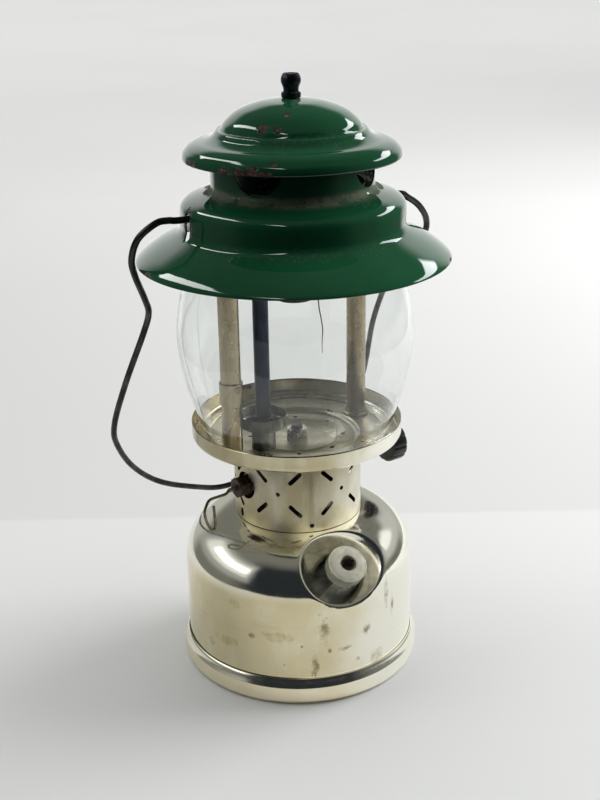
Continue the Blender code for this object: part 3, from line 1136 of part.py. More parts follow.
def bail(steel):
    """The wire bail: out over the brim, in at its waist and round in a wide loop."""
    tip = [(BAIL_TIP, 0), (BAIL_SHOULDER, 0)]
    whole = [(-x, y) for x, y in tip]
    whole += [(-BAIL_HALF_WIDTH * x, BAIL_LENGTH * y) for x, y in BAIL_LEFT_SHARES]
    whole += [(BAIL_HALF_WIDTH * x, BAIL_LENGTH * y) for x, y in BAIL_RIGHT_SHARES]
    whole += tip[::-1]
    along = compass(BAIL_AZIMUTH, 1)
    back = along.cross(Vector((0, 0, -1)))
    down = back * sin(radians(BAIL_SWING)) + Vector((0, 0, -cos(radians(BAIL_SWING))))
    path = smooth_path([along * x + down * y for x, y in whole])
    wire("bail", path, BAIL_WIRE_RADIUS, steel, Matrix.Translation(HINGE_POINT))


def globe(glass):
    """The bulged chimney glass, open at both ends."""
    height = GLOBE_TOP - GLOBE_BOTTOM
    outer = [(GLOBE_RADIUS * x, GLOBE_BOTTOM + height * y) for x, y in GLOBE_SHARES]
    inner = [(radius - GLOBE_WALL, level) for radius, level in outer]
    turned("globe", outer + inner[::-1], glass, LARGE_STEPS)


def main():
    clear_scene()
    finishes = {
        "nickel": finish("nickel", (0.62, 0.58, 0.46), 1.0, 0.22),
        "cap_metal": finish("cap_metal", (0.55, 0.51, 0.42), 1.0, 0.38),
        "brass": finish("brass", (0.50, 0.38, 0.18), 1.0, 0.35),
        "steel": finish("steel", (0.38, 0.36, 0.32), 1.0, 0.40),
        "dark_steel": finish("dark_steel", (0.09, 0.07, 0.06), 0.8, 0.45),
        "blued_steel": finish("blued_steel", (0.03, 0.04, 0.06), 0.9, 0.35),
        "tube_metal": finish("tube_metal", (0.34, 0.30, 0.22), 1.0, 0.38),
        "cast_iron": finish("cast_iron", (0.10, 0.10, 0.10), 0.7, 0.65),
        "enamel": finish("enamel", (0.015, 0.095, 0.035), 0.0, 0.12),
        "dark_enamel": finish("dark_enamel", (0.01, 0.02, 0.015), 0.0, 0.40),
        "plastic": finish("plastic", (0.012, 0.013, 0.015), 0.0, 0.30),
        "rubber": finish("rubber", (0.02, 0.02, 0.02), 0.0, 0.70),
        "leather": finish("leather", (0.12, 0.06, 0.03), 0.0, 0.70),
        "string": finish("string", (0.25, 0.10, 0.08), 0.0, 0.90),
        "glass": finish("glass", (0.90, 0.95, 0.93), 0.0, 0.03, 0.25),
    }
    filler_seat = compass(FILLER_AZIMUTH, FILLER_SEAT_RADIUS, FILLER_SEAT_HEIGHT)
    filler = frame_at(filler_seat, tilted(FILLER_AZIMUTH, FILLER_TILT))
    pump_seat = compass(PUMP_AZIMUTH, PUMP_SEAT_RADIUS, PUMP_SEAT_HEIGHT)
    pump = frame_at(pump_seat, tilted(PUMP_AZIMUTH, PUMP_TILT))
    generator = compass(GENERATOR_AZIMUTH, GENERATOR_OFFSET)
    fount_shell(finishes["nickel"], filler, pump)
    fount_bottom(finishes["nickel"])
    filler_pieces(filler, finishes)
    pump_pieces(pump, finishes)
    valve_body(finishes["brass"], generator)
    control_valve(finishes)
    cleaner(finishes, generator)
    generator_pieces(finishes, generator)
    collar(finishes["nickel"])
    globe_pan(finishes["nickel"], generator)
    frame_tubes(finishes)
    burner(finishes, generator)
    strap_top = bail_bracket(finishes["steel"])
    vent_stud(finishes, strap_top)
    hood(finishes["enamel"])
    hood_cap(finishes["enamel"])
    ball_nut(finishes["dark_steel"])
    bail(finishes["dark_steel"])
    globe(finishes["glass"])


main()
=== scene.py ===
from math import cos, hypot, pi, radians, sin, sqrt, tau

import bmesh
import bpy
from mathutils import Matrix, Vector


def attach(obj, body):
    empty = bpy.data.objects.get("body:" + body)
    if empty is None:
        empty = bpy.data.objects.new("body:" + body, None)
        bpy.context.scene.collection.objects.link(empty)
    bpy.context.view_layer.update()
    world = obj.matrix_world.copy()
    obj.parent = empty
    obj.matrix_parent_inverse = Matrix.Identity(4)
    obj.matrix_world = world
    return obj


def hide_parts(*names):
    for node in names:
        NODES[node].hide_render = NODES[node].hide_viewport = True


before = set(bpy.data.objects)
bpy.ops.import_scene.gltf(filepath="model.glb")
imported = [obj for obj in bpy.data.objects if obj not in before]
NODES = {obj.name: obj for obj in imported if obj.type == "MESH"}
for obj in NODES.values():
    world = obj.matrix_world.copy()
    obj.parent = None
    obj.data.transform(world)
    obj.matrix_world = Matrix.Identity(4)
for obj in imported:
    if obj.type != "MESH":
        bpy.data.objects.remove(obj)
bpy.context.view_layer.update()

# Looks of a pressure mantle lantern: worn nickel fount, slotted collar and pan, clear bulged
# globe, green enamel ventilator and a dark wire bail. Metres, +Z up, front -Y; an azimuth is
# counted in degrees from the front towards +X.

scene = bpy.context.scene


# ---------------------------------------------------------------- shapes

def compass(azimuth, radius, height=0.0):
    turn = radians(azimuth)
    return Vector((radius * sin(turn), -radius * cos(turn), height))


def tilted(azimuth, tilt):
    return compass(azimuth, sin(radians(tilt)), cos(radians(tilt)))


def frame_at(origin, direction):
    """A placement at origin whose Z runs along direction and whose X is level."""
    along = direction.normalized()
    side = Vector((0, 0, 1)).cross(along).normalized()
    placed = Matrix((side, along.cross(side), along)).transposed().to_4x4()
    placed.translation = origin
    return placed


def radial(azimuth, height):
    """A placement on the lantern's axis whose Z runs outwards at an azimuth."""
    return frame_at(Vector((0, 0, height)), compass(azimuth, 1))


def link(name, data, look, place=Matrix()):
    item = bpy.data.objects.new(name, data)
    scene.collection.objects.link(item)
    item.matrix_world = place
    if look is not None:
        data.materials.append(look)
    return item


def from_rings(name, rings, look, place=Matrix(), loop=False, sharp=32):
    """A skin over rings of points; a ring with one point is a pole, loop joins last to first."""
    verts, faces, starts = [], [], []
    for ring in rings:
        starts.append(len(verts))
        verts += [tuple(p) for p in ring]
    count = len(rings)
    for k in range(count if loop else count - 1):
        a, b = rings[k], rings[(k + 1) % count]
        i, j = starts[k], starts[(k + 1) % count]
        steps = max(len(a), len(b))
        for s in range(steps):
            t = (s + 1) % steps
            if len(a) == 1 and len(b) == 1:
                continue
            if len(a) == 1:
                faces.append((i, j + t, j + s))
            elif len(b) == 1:
                faces.append((i + s, i + t, j))
            else:
                faces.append((i + s, i + t, j + t, j + s))
    mesh = bpy.data.meshes.new(name)
    mesh.from_pydata(verts, [], faces)
    tidy = bmesh.new()
    tidy.from_mesh(mesh)
    bmesh.ops.recalc_face_normals(tidy, faces=tidy.faces)
    tidy.to_mesh(mesh)
    tidy.free()
    mesh.shade_smooth()
    mesh.set_sharp_from_angle(angle=radians(sharp))
    return link(name, mesh, look, place)


def soften(outline, reach, steps=3):
    """Round every corner of a closed outline with a small curve; points on the axis stay."""
    soft = []
    for k, here in enumerate(outline):
        if here[0] == 0:
            soft.append(here)
            continue
        p, a, b = Vector(here), Vector(outline[k - 1]), Vector(outline[(k + 1) % len(outline)])
        start = p + (a - p).normalized() * min(reach, 0.45 * (a - p).length)
        end = p + (b - p).normalized() * min(reach, 0.45 * (b - p).length)
        for s in range(steps + 1):
            t = s / steps
            q = start * (1 - t) ** 2 + p * 2 * t * (1 - t) + end * t * t
            soft.append((q.x, q.y))
    return soft


def curve_through(points, reads):
    """Catmull-Rom points, in any number of dimensions."""
    pts = [Vector(p) for p in points]
    path = []
    for k in range(len(pts) - 1):
        a, b = pts[max(k - 1, 0)], pts[k]
        c, d = pts[k + 1], pts[min(k + 2, len(pts) - 1)]
        for read in range(reads):
            t = read / reads
            path.append(0.5 * (2 * b + (c - a) * t + (2 * a - 5 * b + 4 * c - d) * t ** 2
                               + (3 * b - a - 3 * c + d) * t ** 3))
    path.append(pts[-1])
    return path


def lathe(name, outline, look, steps=96, place=Matrix(), loop=True, sharp=32):
    rings = []
    for r, h in outline:
        if abs(r) < 1e-7:
            rings.append([(0, 0, h)])
        else:
            turns = [tau * s / steps for s in range(steps)]
            rings.append([(r * sin(turn), -r * cos(turn), h) for turn in turns])
    return from_rings(name, rings, look, place, loop and outline[0][0] > 0, sharp=sharp)


def sheet(points, thick):
    """A sheet outline: the outer line, a rounded lip, and the inner line stepped inwards."""
    outer = [Vector(p) for p in points]
    inner = []
    for k, p in enumerate(outer):
        run = (outer[min(k + 1, len(outer) - 1)] - outer[max(k - 1, 0)]).normalized()
        inner.append(Vector((p.x - run.y * thick, p.y + run.x * thick)))
    lip_a = [(outer[0] + inner[0]) / 2 - (outer[1] - outer[0]).normalized() * thick * 0.4]
    lip_b = [(outer[-1] + inner[-1]) / 2 + (outer[-1] - outer[-2]).normalized() * thick * 0.4]
    return [tuple(p) for p in lip_a + outer + lip_b + inner[::-1]]


def hex_nut(name, flats, low, high, bore, look, place=Matrix()):
    """A hexagon nut with chamfered corners."""
    half, steps = flats / 2, 96
    seat, drop = half * 0.98, 0.55
    corner = [half / cos((tau * s / steps + pi / 6) % (pi / 3) - pi / 6) for s in range(steps)]

    def ring(radii, heights):
        return [(r * cos(tau * s / steps), r * sin(tau * s / steps), h)
                for s, (r, h) in enumerate(zip(radii, heights))]

    rings = [ring([bore] * steps, [low] * steps), ring([seat] * steps, [low] * steps),
             ring(corner, [low + (r - seat) * drop for r in corner]),
             ring(corner, [high - (r - seat) * drop for r in corner]),
             ring([seat] * steps, [high] * steps), ring([bore] * steps, [high] * steps)]
    return from_rings(name, rings, look, place, loop=True, sharp=20)


def tool_mesh(shapes):
    """Join closed prisms, each a near and a far ring of points, into one cutter."""
    shape = bmesh.new()
    for near, far in shapes:
        a = [shape.verts.new(p) for p in near]
        b = [shape.verts.new(p) for p in far]
        shape.faces.new(a[::-1])
        shape.faces.new(b)
        for k in range(len(a)):
            n = (k + 1) % len(a)
            shape.faces.new((a[k], a[n], b[n], b[k]))
    bmesh.ops.recalc_face_normals(shape, faces=shape.faces)
    mesh = bpy.data.meshes.new("cutter")
    shape.to_mesh(mesh)
    shape.free()
    return mesh


def carve(item, shapes, sharp=32):
    """Cut the prisms out of an object and keep the plain mesh."""
    cutter = link("cutter", tool_mesh(shapes), None)
    cutter.matrix_world = item.matrix_world
    change = item.modifiers.new("cut", "BOOLEAN")
    change.operation = "DIFFERENCE"
    change.solver = "EXACT"
    change.object = cutter
    bpy.context.view_layer.update()
    graph = bpy.context.evaluated_depsgraph_get()
    ready = bpy.data.meshes.new_from_object(item.evaluated_get(graph))
    item.modifiers.clear()
    looks = list(item.data.materials)
    item.data = ready
    ready.materials.clear()
    for look in looks:
        ready.materials.append(look)
    bpy.data.objects.remove(cutter)
    ready.shade_smooth()
    ready.set_sharp_from_angle(angle=radians(sharp))


def disc_cut(place, radius, low, high, points=32, squash=1.0):
    """A round prism along a placement's Z, for carve."""
    turns = [tau * k / points for k in range(points)]
    return [[place @ Vector((radius * squash * cos(t), radius * sin(t), h)) for t in turns]
            for h in (low, high)]


def wire(name, path, radius, look, place=Matrix(), resolution=5, cyclic=False):
    """A round wire along a path."""
    curve = bpy.data.curves.new(name, "CURVE")
    curve.dimensions = "3D"
    curve.bevel_depth = radius
    curve.bevel_resolution = resolution
    curve.use_fill_caps = True
    spline = curve.splines.new("POLY")
    spline.points.add(len(path) - 1)
    for point, (x, y, z) in zip(spline.points, path):
        point.co = (x, y, z, 1.0)
    spline.use_cyclic_u = cyclic
    spline.use_smooth = True
    return link(name, curve, look, place)


def dress(piece, body, slot, *nodes):
    """The piece rides on a body and stands for the named nodes; slot is not used."""
    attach(piece, body)
    if nodes:
        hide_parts(*nodes)
    return piece


# ---------------------------------------------------------------- finishes

class Nodes:
    """Makes and links the nodes of a tree."""

    def __init__(self, tree):
        self.tree = tree

    def node(self, kind, **fields):
        made = self.tree.nodes.new(kind)
        for key, value in fields.items():
            setattr(made, key, value)
        return made

    def put(self, socket, value):
        if hasattr(value, "is_output"):
            self.tree.links.new(value, socket)
        elif hasattr(value, "__len__") and len(value) == 3 and socket.type == "RGBA":
            socket.default_value = (*value, 1.0)
        else:
            socket.default_value = value

    def span(self, value, a, b, c=0.0, d=1.0):
        """A soft step from c at a to d at b."""
        node = self.node("ShaderNodeMapRange", interpolation_type="SMOOTHSTEP")
        self.put(node.inputs["Value"], value)
        for key, v in (("From Min", a), ("From Max", b), ("To Min", c), ("To Max", d)):
            node.inputs[key].default_value = v
        return node.outputs["Result"]

    def math(self, operation, first, *others):
        total = first
        for value in others or (0.0,):
            node = self.node("ShaderNodeMath", operation=operation)
            self.put(node.inputs[0], total)
            self.put(node.inputs[1], value)
            total = node.outputs[0]
        return total

    def times(self, *values):
        return self.math("MULTIPLY", *values)

    def most(self, *values):
        return self.math("MAXIMUM", *values)

    def length(self, x, y):
        return self.math("SQRT", self.math("ADD", self.times(x, x), self.times(y, y)))

    def mix(self, share, a, b):
        node = self.node("ShaderNodeMix", data_type="RGBA")
        for index, value in ((0, share), (6, a), (7, b)):
            self.put(node.inputs[index], value)
        return node.outputs[2]

    def vector(self, operation, a, b):
        node = self.node("ShaderNodeVectorMath", operation=operation)
        self.put(node.inputs[0], a)
        node.inputs[1].default_value = b
        return node.outputs

    def parts(self, vector):
        node = self.node("ShaderNodeSeparateXYZ")
        self.put(node.inputs[0], vector)
        return node.outputs


class Look(Nodes):
    """A Principled material whose colour, roughness and bump come from nodes."""

    def __init__(self, name, **sockets):
        self.material = bpy.data.materials.new(name)
        self.material.use_nodes = True
        super().__init__(self.material.node_tree)
        self.shader = self.tree.nodes["Principled BSDF"]
        self.at = self.node("ShaderNodeTexCoord").outputs["Object"]
        for key, value in sockets.items():
            self.shader.inputs[key.replace("_", " ")].default_value = value

    def noise(self, scale, detail=4.0, rough=0.6, stretch=(1, 1, 1), shift=(0, 0, 0)):
        place = self.node("ShaderNodeMapping")
        self.put(place.inputs["Vector"], self.at)
        place.inputs["Scale"].default_value = stretch
        place.inputs["Location"].default_value = shift
        node = self.node("ShaderNodeTexNoise")
        self.put(node.inputs["Vector"], place.outputs["Vector"])
        for key, value in (("Scale", scale), ("Detail", detail), ("Roughness", rough)):
            node.inputs[key].default_value = value
        return node.outputs[0]

    def ramp(self, value, stops):
        node = self.node("ShaderNodeValToRGB")
        self.put(node.inputs[0], value)
        marks = node.color_ramp.elements
        while len(marks) < len(stops):
            marks.new(0.5)
        for mark, (place, color) in zip(marks, stops):
            mark.position = place
            mark.color = (*color, 1.0)
        return node.outputs[0]

    def tones(self, value, *colors):
        """A ramp over dark, middle and light."""
        return self.ramp(value, tuple(zip((0.28, 0.5, 0.74), colors)))

    def axis(self, index):
        return self.parts(self.at)[index]

    def away(self):
        """Distance from the upright axis."""
        return self.length(self.axis(0), self.axis(1))

    def spot(self, centre, size, ragged, grain):
        """1 in the middle of a spot and 0 outside its half sizes, with a ragged edge."""
        share = self.vector("DIVIDE", self.vector("SUBTRACT", self.at, centre)[0], size)[0]
        far = self.vector("LENGTH", share, (0, 0, 0))["Value"]
        edge = self.times(self.math("SUBTRACT", self.noise(grain), 0.5), ragged)
        return self.span(self.math("ADD", far, edge), 1.0, 0.55)

    def spots(self, places, ragged, grain):
        return self.most(*[self.spot(*place, ragged, grain) for place in places])

    def color(self, value):
        self.put(self.shader.inputs["Base Color"], value)

    def rough(self, value):
        self.put(self.shader.inputs["Roughness"], value)

    def bump(self, height, depth, strength, after=None):
        node = self.node("ShaderNodeBump")
        node.inputs["Strength"].default_value = strength
        node.inputs["Distance"].default_value = depth
        self.put(node.inputs["Height"], height)
        if after is not None:
            self.put(node.inputs["Normal"], after)
        self.put(self.shader.inputs["Normal"], node.outputs[0])
        return node.outputs[0]


# Marks on the fount's side: azimuth, height, half width, half height, and their strength
SIDE_STAINS = (
    (-12.0, 0.0520, 0.0115, 0.0062), (-38.0, 0.0400, 0.0110, 0.0040),
    (-50.0, 0.0330, 0.0040, 0.0060), (-33.0, 0.0720, 0.0045, 0.0060),
    (40.0, 0.0240, 0.0060, 0.0070),
)
SIDE_RUST = (
    (11.5, 0.0555, 0.0040, 0.0095), (7.0, 0.0290, 0.0030, 0.0115), (21.5, 0.0395, 0.0052, 0.0022),
    (14.0, 0.0400, 0.0014, 0.0020), (47.0, 0.0715, 0.0022, 0.0150), (34.0, 0.0500, 0.0034, 0.0045),
    (9.0, 0.0690, 0.0016, 0.0014), (-24.0, 0.0500, 0.0030, 0.0024), (52.0, 0.0590, 0.0016, 0.0100),
    (0.5, 0.0450, 0.0014, 0.0016), (29.0, 0.0280, 0.0016, 0.0016), (-8.0, 0.0300, 0.0012, 0.0010),
)
FOUNT_R = 0.0823


def on_side(marks):
    return [(compass(az, FOUNT_R, z), (w, w * 1.4, h)) for az, z, w, h in marks]


CLEAN = (0.90, 0.885, 0.79)


def nickel(name, polish, dull, worn, brown, stains=(), rust=(), grime=None, lip=None, shade_lining=None,
           left=0.0):
    """Worn nickel: clean towards the right, yellowed on the front and the left.

    With stains, the shoulder and the dish are clean as well. lip is the height above which a
    rolled lip is polished, lining the radius inside which the band is painted near black as
    painted shade, left the share of brown on the left.
    """
    look = Look(name, Metallic=1.0)
    fine = look.noise(140.0, 6.0, 0.65)
    drift = look.times(look.math("SUBTRACT", look.noise(24.0, 4.0, 0.6), 0.5), 0.05)
    kept = look.span(look.math("ADD", look.axis(0), drift), 0.012, 0.058)
    if stains:
        centre, radius, _ = FILLER_DISH
        from_dish = look.vector("DISTANCE", look.at, centre)["Value"]
        kept = look.most(kept, look.span(look.axis(2), 0.0770, 0.0900),
                         look.span(from_dish, radius + 0.0021, radius + 0.0006))
    cloud = look.span(look.noise(26.0, 5.0, 0.62, shift=(3, 1, 2)), 0.34, 0.78)
    low = look.mix(look.times(cloud, 0.55), worn, brown)
    streaks = look.span(look.noise(40.0, 5.0, 0.6, (1, 1, 0.45), (1, 7, 2)), 0.44, 0.74)
    color = look.mix(kept, look.mix(look.times(streaks, 0.45), low, CLEAN), CLEAN)
    if left:
        side = look.times(look.span(look.axis(0), -0.020, -0.062), left)
        color = look.mix(side, color, (0.26, 0.215, 0.12))
    specks = look.span(look.noise(520.0, 3.0, 0.7), 0.68, 0.77)
    color = look.mix(look.times(specks, 0.40), color, (0.20, 0.15, 0.07))
    rough = look.span(fine, 0.3, 0.75, polish, polish + 0.06)
    rough = look.most(rough, look.times(cloud, dull * 0.55))
    if stains:
        broken = look.span(look.noise(330.0, 4.0, 0.7), 0.34, 0.60, 0.30, 1.0)
        olive = look.times(look.spots(stains, 2.1, 130.0), broken)
        color = look.mix(look.times(olive, 0.46), color, (0.40, 0.335, 0.14))
        scratch = look.span(look.noise(260.0, 4.0, 0.6, (0.10, 0.10, 1.0)), 0.60, 0.72)
        color = look.mix(look.times(scratch, 0.16), color, (0.30, 0.25, 0.13))
        rough = look.most(rough, look.times(olive, dull))
    if rust:
        broken = look.span(look.noise(210.0, 4.0, 0.7), 0.36, 0.60, 0.15, 1.0)
        spots = look.times(look.spots(rust, 2.9, 420.0), broken)
        color = look.mix(look.times(spots, 0.75), color, (0.21, 0.150, 0.065))
        rough = look.most(rough, look.times(spots, 0.42))
    if grime is not None:
        mask = grime(look)
        color = look.mix(mask, color, (0.41, 0.395, 0.32))
        rough = look.most(rough, look.times(mask, 0.6))
    if lip is not None:
        rolled = look.span(look.axis(2), lip - 0.0004, lip + 0.0002)
        rough = look.mix(rolled, rough, look.span(fine, 0.3, 0.75, 0.13, 0.22))
        color = look.mix(look.times(rolled, 0.7), color, CLEAN)
    # Painted shade: inside the lining radius the band's inner face and hole walls are painted near
    # black.
    if shade_lining is not None:
        inside = look.span(look.away(), shade_lining + 0.00005, shade_lining - 0.00005)
        color = look.mix(inside, color, (0.045, 0.042, 0.036))
        rough = look.most(rough, look.times(inside, 0.7))
    look.color(color)
    look.rough(rough)
    waves = look.bump(look.noise(9.0, 2.0, 0.5), 0.0009, 0.20)
    look.bump(look.noise(700.0, 3.0, 0.6), 0.00002, 0.35, waves)
    return look.material


def enamel(name, chips, dust):
    """Mirror-smooth green enamel with dust, and rusty chips that are matt."""
    look = Look(name, Metallic=0.0, Coat_Weight=0.0, IOR=1.52)
    greens = ((0.25, (0.0052, 0.062, 0.025)), (0.50, (0.0085, 0.084, 0.034)),
              (0.80, (0.0150, 0.108, 0.045)))
    color = look.ramp(look.noise(11.0, 4.0, 0.55), greens)
    freckles = look.span(look.noise(900.0, 2.0, 0.6), 0.69, 0.76)
    color = look.mix(look.times(freckles, 0.30), color, (0.09, 0.13, 0.07))
    mask = dust(look)
    color = look.mix(mask, color, (0.195, 0.195, 0.140))
    halo = look.spots([(c, [v * 1.25 for v in s]) for c, s in chips], 2.2, 330.0)
    core = look.spots(chips, 2.6, 420.0)
    color = look.mix(halo, color, (0.018, 0.016, 0.015))
    rusts = ((0.35, (0.04, 0.020, 0.012)), (0.52, (0.12, 0.052, 0.028)), (0.66, (0.30, 0.23, 0.17)))
    look.color(look.mix(core, color, look.ramp(look.noise(520.0, 5.0, 0.7), rusts)))
    look.rough(look.most(look.span(mask, 0.38, 0.60, 0.0, 0.85), look.times(halo, 0.8)))
    ripple = look.times(look.noise(75.0, 3.0, 0.5), 0.25)
    look.bump(look.math("SUBTRACT", ripple, look.times(halo, 1.5)), 0.0003, 0.6)
    return look.material


def metal(name, dark, mid, light, rough=(0.25, 0.5), scale=60.0, stretch=(1, 1, 1), bump=0.00005,
          metallic=1.0):
    look = Look(name, Metallic=metallic)
    look.color(look.tones(look.noise(scale, 6.0, 0.65, stretch), dark, mid, light))
    look.rough(look.span(look.noise(scale * 3, 4.0, 0.6), 0.3, 0.7, *rough))
    look.bump(look.noise(scale * 9, 4.0, 0.65), bump, 0.6)
    return look.material


def plain(name, dark, light, rough=(0.4, 0.6), scale=90.0, bump=0.00005):
    look = Look(name)
    look.color(look.ramp(look.noise(scale, 5.0, 0.6), ((0.3, dark), (0.7, light))))
    look.rough(look.span(look.noise(scale * 2, 4.0, 0.6), 0.3, 0.7, *rough))
    look.bump(look.noise(scale * 8, 4.0, 0.6), bump, 0.5)
    return look.material


def pan_grime(look):
    """Soot and dust on the pan's floor, worn off its rim."""
    high = look.span(look.axis(2), 0.1745, 0.1800, 1.0, 0.0)
    inside = look.span(look.away(), 0.0715, 0.0690)
    patch = look.span(look.noise(55.0, 6.0, 0.7), 0.30, 0.72, 0.35, 0.92)
    return look.times(high, inside, patch)


def hood_dust(look):
    """Tan dust where the shelf meets the neck, and grains of it on the brim."""
    z, away = look.axis(2), look.away()
    veil = look.span(look.noise(75.0, 6.0, 0.7), 0.32, 0.66)
    grains = look.span(look.noise(620.0, 3.0, 0.7), 0.52, 0.66)
    shelf = look.times(look.span(away, 0.0640, 0.0560), look.span(z, 0.3395, 0.3430),
                       look.span(z, 0.3510, 0.3470), look.span(veil, 0.0, 1.0, 0.35, 0.80))
    brim = look.times(look.span(away, 0.0880, 0.0790), look.span(z, 0.3240, 0.3180), veil, grains,
                      0.34)
    return look.most(shelf, brim)


def cap_dust(look):
    """Grains of dust in the seam between the dome and its skirt."""
    away = look.away()
    veil = look.span(look.noise(420.0, 5.0, 0.7), 0.50, 0.66)
    return look.times(look.span(away, 0.0425, 0.0460), look.span(away, 0.0590, 0.0500), veil, 0.20)


CHIPS_CAP = (
    (-27.0, 0.0716, 0.3672, 0.0048, 0.0026), (-20.0, 0.0716, 0.3680, 0.0042, 0.0030),
    (-14.0, 0.0716, 0.3668, 0.0050, 0.0018), (-36.0, 0.0716, 0.3675, 0.0030, 0.0024),
    (-9.0, 0.0690, 0.3725, 0.0018, 0.0014), (-66.0, 0.0716, 0.3670, 0.0030, 0.0020),
    (-60.0, 0.0716, 0.3672, 0.0025, 0.0020), (-24.0, 0.0440, 0.3900, 0.0042, 0.0024),
    (-11.0, 0.0440, 0.3895, 0.0026, 0.0022), (-14.0, 0.0440, 0.3915, 0.0016, 0.0014),
    (-4.0, 0.0330, 0.3960, 0.0024, 0.0014), (-130.0, 0.0240, 0.3990, 0.0050, 0.0012),
    (-6.0, 0.0480, 0.3835, 0.0014, 0.0016), (150.0, 0.0716, 0.3670, 0.0050, 0.0028),
)
CHIPS_HOOD = (
    (-64.5, 0.0752, 0.3285, 0.0050, 0.0090), (115.5, 0.0752, 0.3285, 0.0050, 0.0080),
    (-62.0, 0.1052, 0.2992, 0.0050, 0.0018), (-98.0, 0.1052, 0.2992, 0.0040, 0.0016),
    (78.0, 0.1052, 0.2992, 0.0040, 0.0014), (160.0, 0.1052, 0.2992, 0.0050, 0.0016),
)


def at_marks(marks):
    return [(compass(az, r, z), (w, w, h)) for az, r, z, w, h in marks]


FILLER_DISH = (compass(25.0, 0.0853, 0.1089), 0.0364, tilted(28.8, 38.0))
FOUNT_LOOK = nickel("worn_nickel_fount", 0.09, 0.30, (0.70, 0.625, 0.41), (0.56, 0.48, 0.28),
                    on_side(SIDE_STAINS), on_side(SIDE_RUST))
BAND_LOOK = nickel("worn_nickel_band", 0.17, 0.30, (0.88, 0.81, 0.61), (0.70, 0.62, 0.42),
                   lip=0.0143)
COLLAR_LOOK = nickel("worn_nickel_collar", 0.42, 0.70, (0.50, 0.44, 0.28), (0.42, 0.365, 0.22),
                     shade_lining=0.0450)
PAN_LOOK = nickel("worn_nickel_pan", 0.17, 0.42, (0.53, 0.47, 0.30), (0.56, 0.48, 0.28),
                  grime=pan_grime, left=0.75)


def cap_look():
    """Dull nickel with a pale worn face; its side, below the edge, is darker: grime, with painted
    shade where it sits in its dish.
    """
    look = Look("dull_nickel", Metallic=0.25)
    face = look.tones(look.noise(90.0, 6.0, 0.65), (0.60, 0.58, 0.45), (0.90, 0.88, 0.74),
                      (0.95, 0.93, 0.83))
    grimed_shaded_side = look.tones(look.noise(140.0, 6.0, 0.65), (0.10, 0.10, 0.08), (0.26, 0.25, 0.20),
                       (0.48, 0.46, 0.38))
    # Painted shade: below the edge the side takes dark tones, grime together with the shade of the
    # dish the cap sits in.
    look.color(look.mix(look.span(look.axis(2), 0.0140, 0.0152), grimed_shaded_side, face))
    look.rough(look.span(look.noise(270.0, 4.0, 0.6), 0.3, 0.7, 0.30, 0.46))
    look.bump(look.noise(810.0, 4.0, 0.65), 0.00005, 0.6)
    return look.material


CAP_LOOK = cap_look()
TUBE_LOOK = metal("tarnished_tube", (0.19, 0.145, 0.085), (0.33, 0.28, 0.19), (0.46, 0.42, 0.32),
                  (0.24, 0.42), 70.0, (1, 1, 0.12))
BLUED_LOOK = metal("blued_steel", (0.012, 0.017, 0.028), (0.028, 0.036, 0.052),
                   (0.070, 0.078, 0.088), (0.28, 0.5), 50.0, (1, 1, 0.25))
CUP_LOOK = metal("sooted_cup", (0.035, 0.040, 0.038), (0.110, 0.130, 0.112), (0.30, 0.22, 0.15),
                 (0.3, 0.6), 130.0)
NUT_LOOK = metal("dirty_nut", (0.07, 0.07, 0.06), (0.42, 0.40, 0.34), (0.95, 0.93, 0.86),
                 (0.14, 0.42), 260.0)
BROWN_LOOK = metal("browned_steel", (0.012, 0.010, 0.009), (0.040, 0.030, 0.024),
                   (0.12, 0.085, 0.062), (0.3, 0.6), 220.0, bump=0.00012)
STEEL_LOOK = metal("dull_steel", (0.16, 0.145, 0.12), (0.31, 0.29, 0.25), (0.46, 0.44, 0.39),
                   (0.25, 0.5), 120.0)
BRASS_LOOK = metal("tarnished_brass", (0.19, 0.12, 0.05), (0.40, 0.29, 0.13), (0.55, 0.43, 0.21),
                   (0.25, 0.45), 90.0)
BODY_LOOK = metal("sooted_brass", (0.045, 0.050, 0.055), (0.105, 0.108, 0.108), (0.21, 0.20, 0.17),
                  (0.35, 0.6), 110.0)
IRON_LOOK = metal("sooted_casting", (0.02, 0.019, 0.018), (0.06, 0.056, 0.05), (0.15, 0.13, 0.11),
                  (0.5, 0.75), 110.0, bump=0.0002, metallic=0.7)
BAIL_LOOK = metal("dark_wire", (0.020, 0.021, 0.023), (0.045, 0.046, 0.048), (0.105, 0.105, 0.10),
                  (0.28, 0.45), 80.0)
LEVER_LOOK = metal("dull_wire", (0.05, 0.045, 0.025), (0.14, 0.125, 0.075), (0.30, 0.27, 0.17),
                   (0.25, 0.45), 120.0)
BALL_LOOK = metal("dark_ball", (0.018, 0.021, 0.028), (0.048, 0.055, 0.068), (0.12, 0.13, 0.15),
                  (0.18, 0.38), 160.0, bump=0.0001)
KNOB_LOOK = plain("black_plastic", (0.006, 0.007, 0.009), (0.016, 0.018, 0.022), (0.28, 0.42),
                  160.0)
RUST_LOOK = metal("rusty_knob", (0.05, 0.025, 0.012), (0.17, 0.075, 0.035), (0.30, 0.17, 0.10),
                  (0.4, 0.7), 260.0, bump=0.0001, metallic=0.6)
RUBBER_LOOK = plain("black_rubber", (0.012, 0.012, 0.012), (0.03, 0.03, 0.03), (0.6, 0.8), 200.0)
LEATHER_LOOK = plain("oiled_leather", (0.06, 0.03, 0.015), (0.15, 0.08, 0.04), (0.55, 0.75), 260.0,
                     0.0002)
STRING_LOOK = plain("singed_string", (0.06, 0.020, 0.014), (0.27, 0.105, 0.075), (0.8, 0.95), 420.0,
                    0.0002)
DARK_LOOK = plain("dark_enamel", (0.004, 0.008, 0.006), (0.020, 0.030, 0.024), (0.25, 0.5), 90.0)
HOOD_LOOK = enamel("green_enamel_hood", at_marks(CHIPS_HOOD), hood_dust)
TOP_LOOK = enamel("green_enamel_cap", at_marks(CHIPS_CAP), cap_dust)


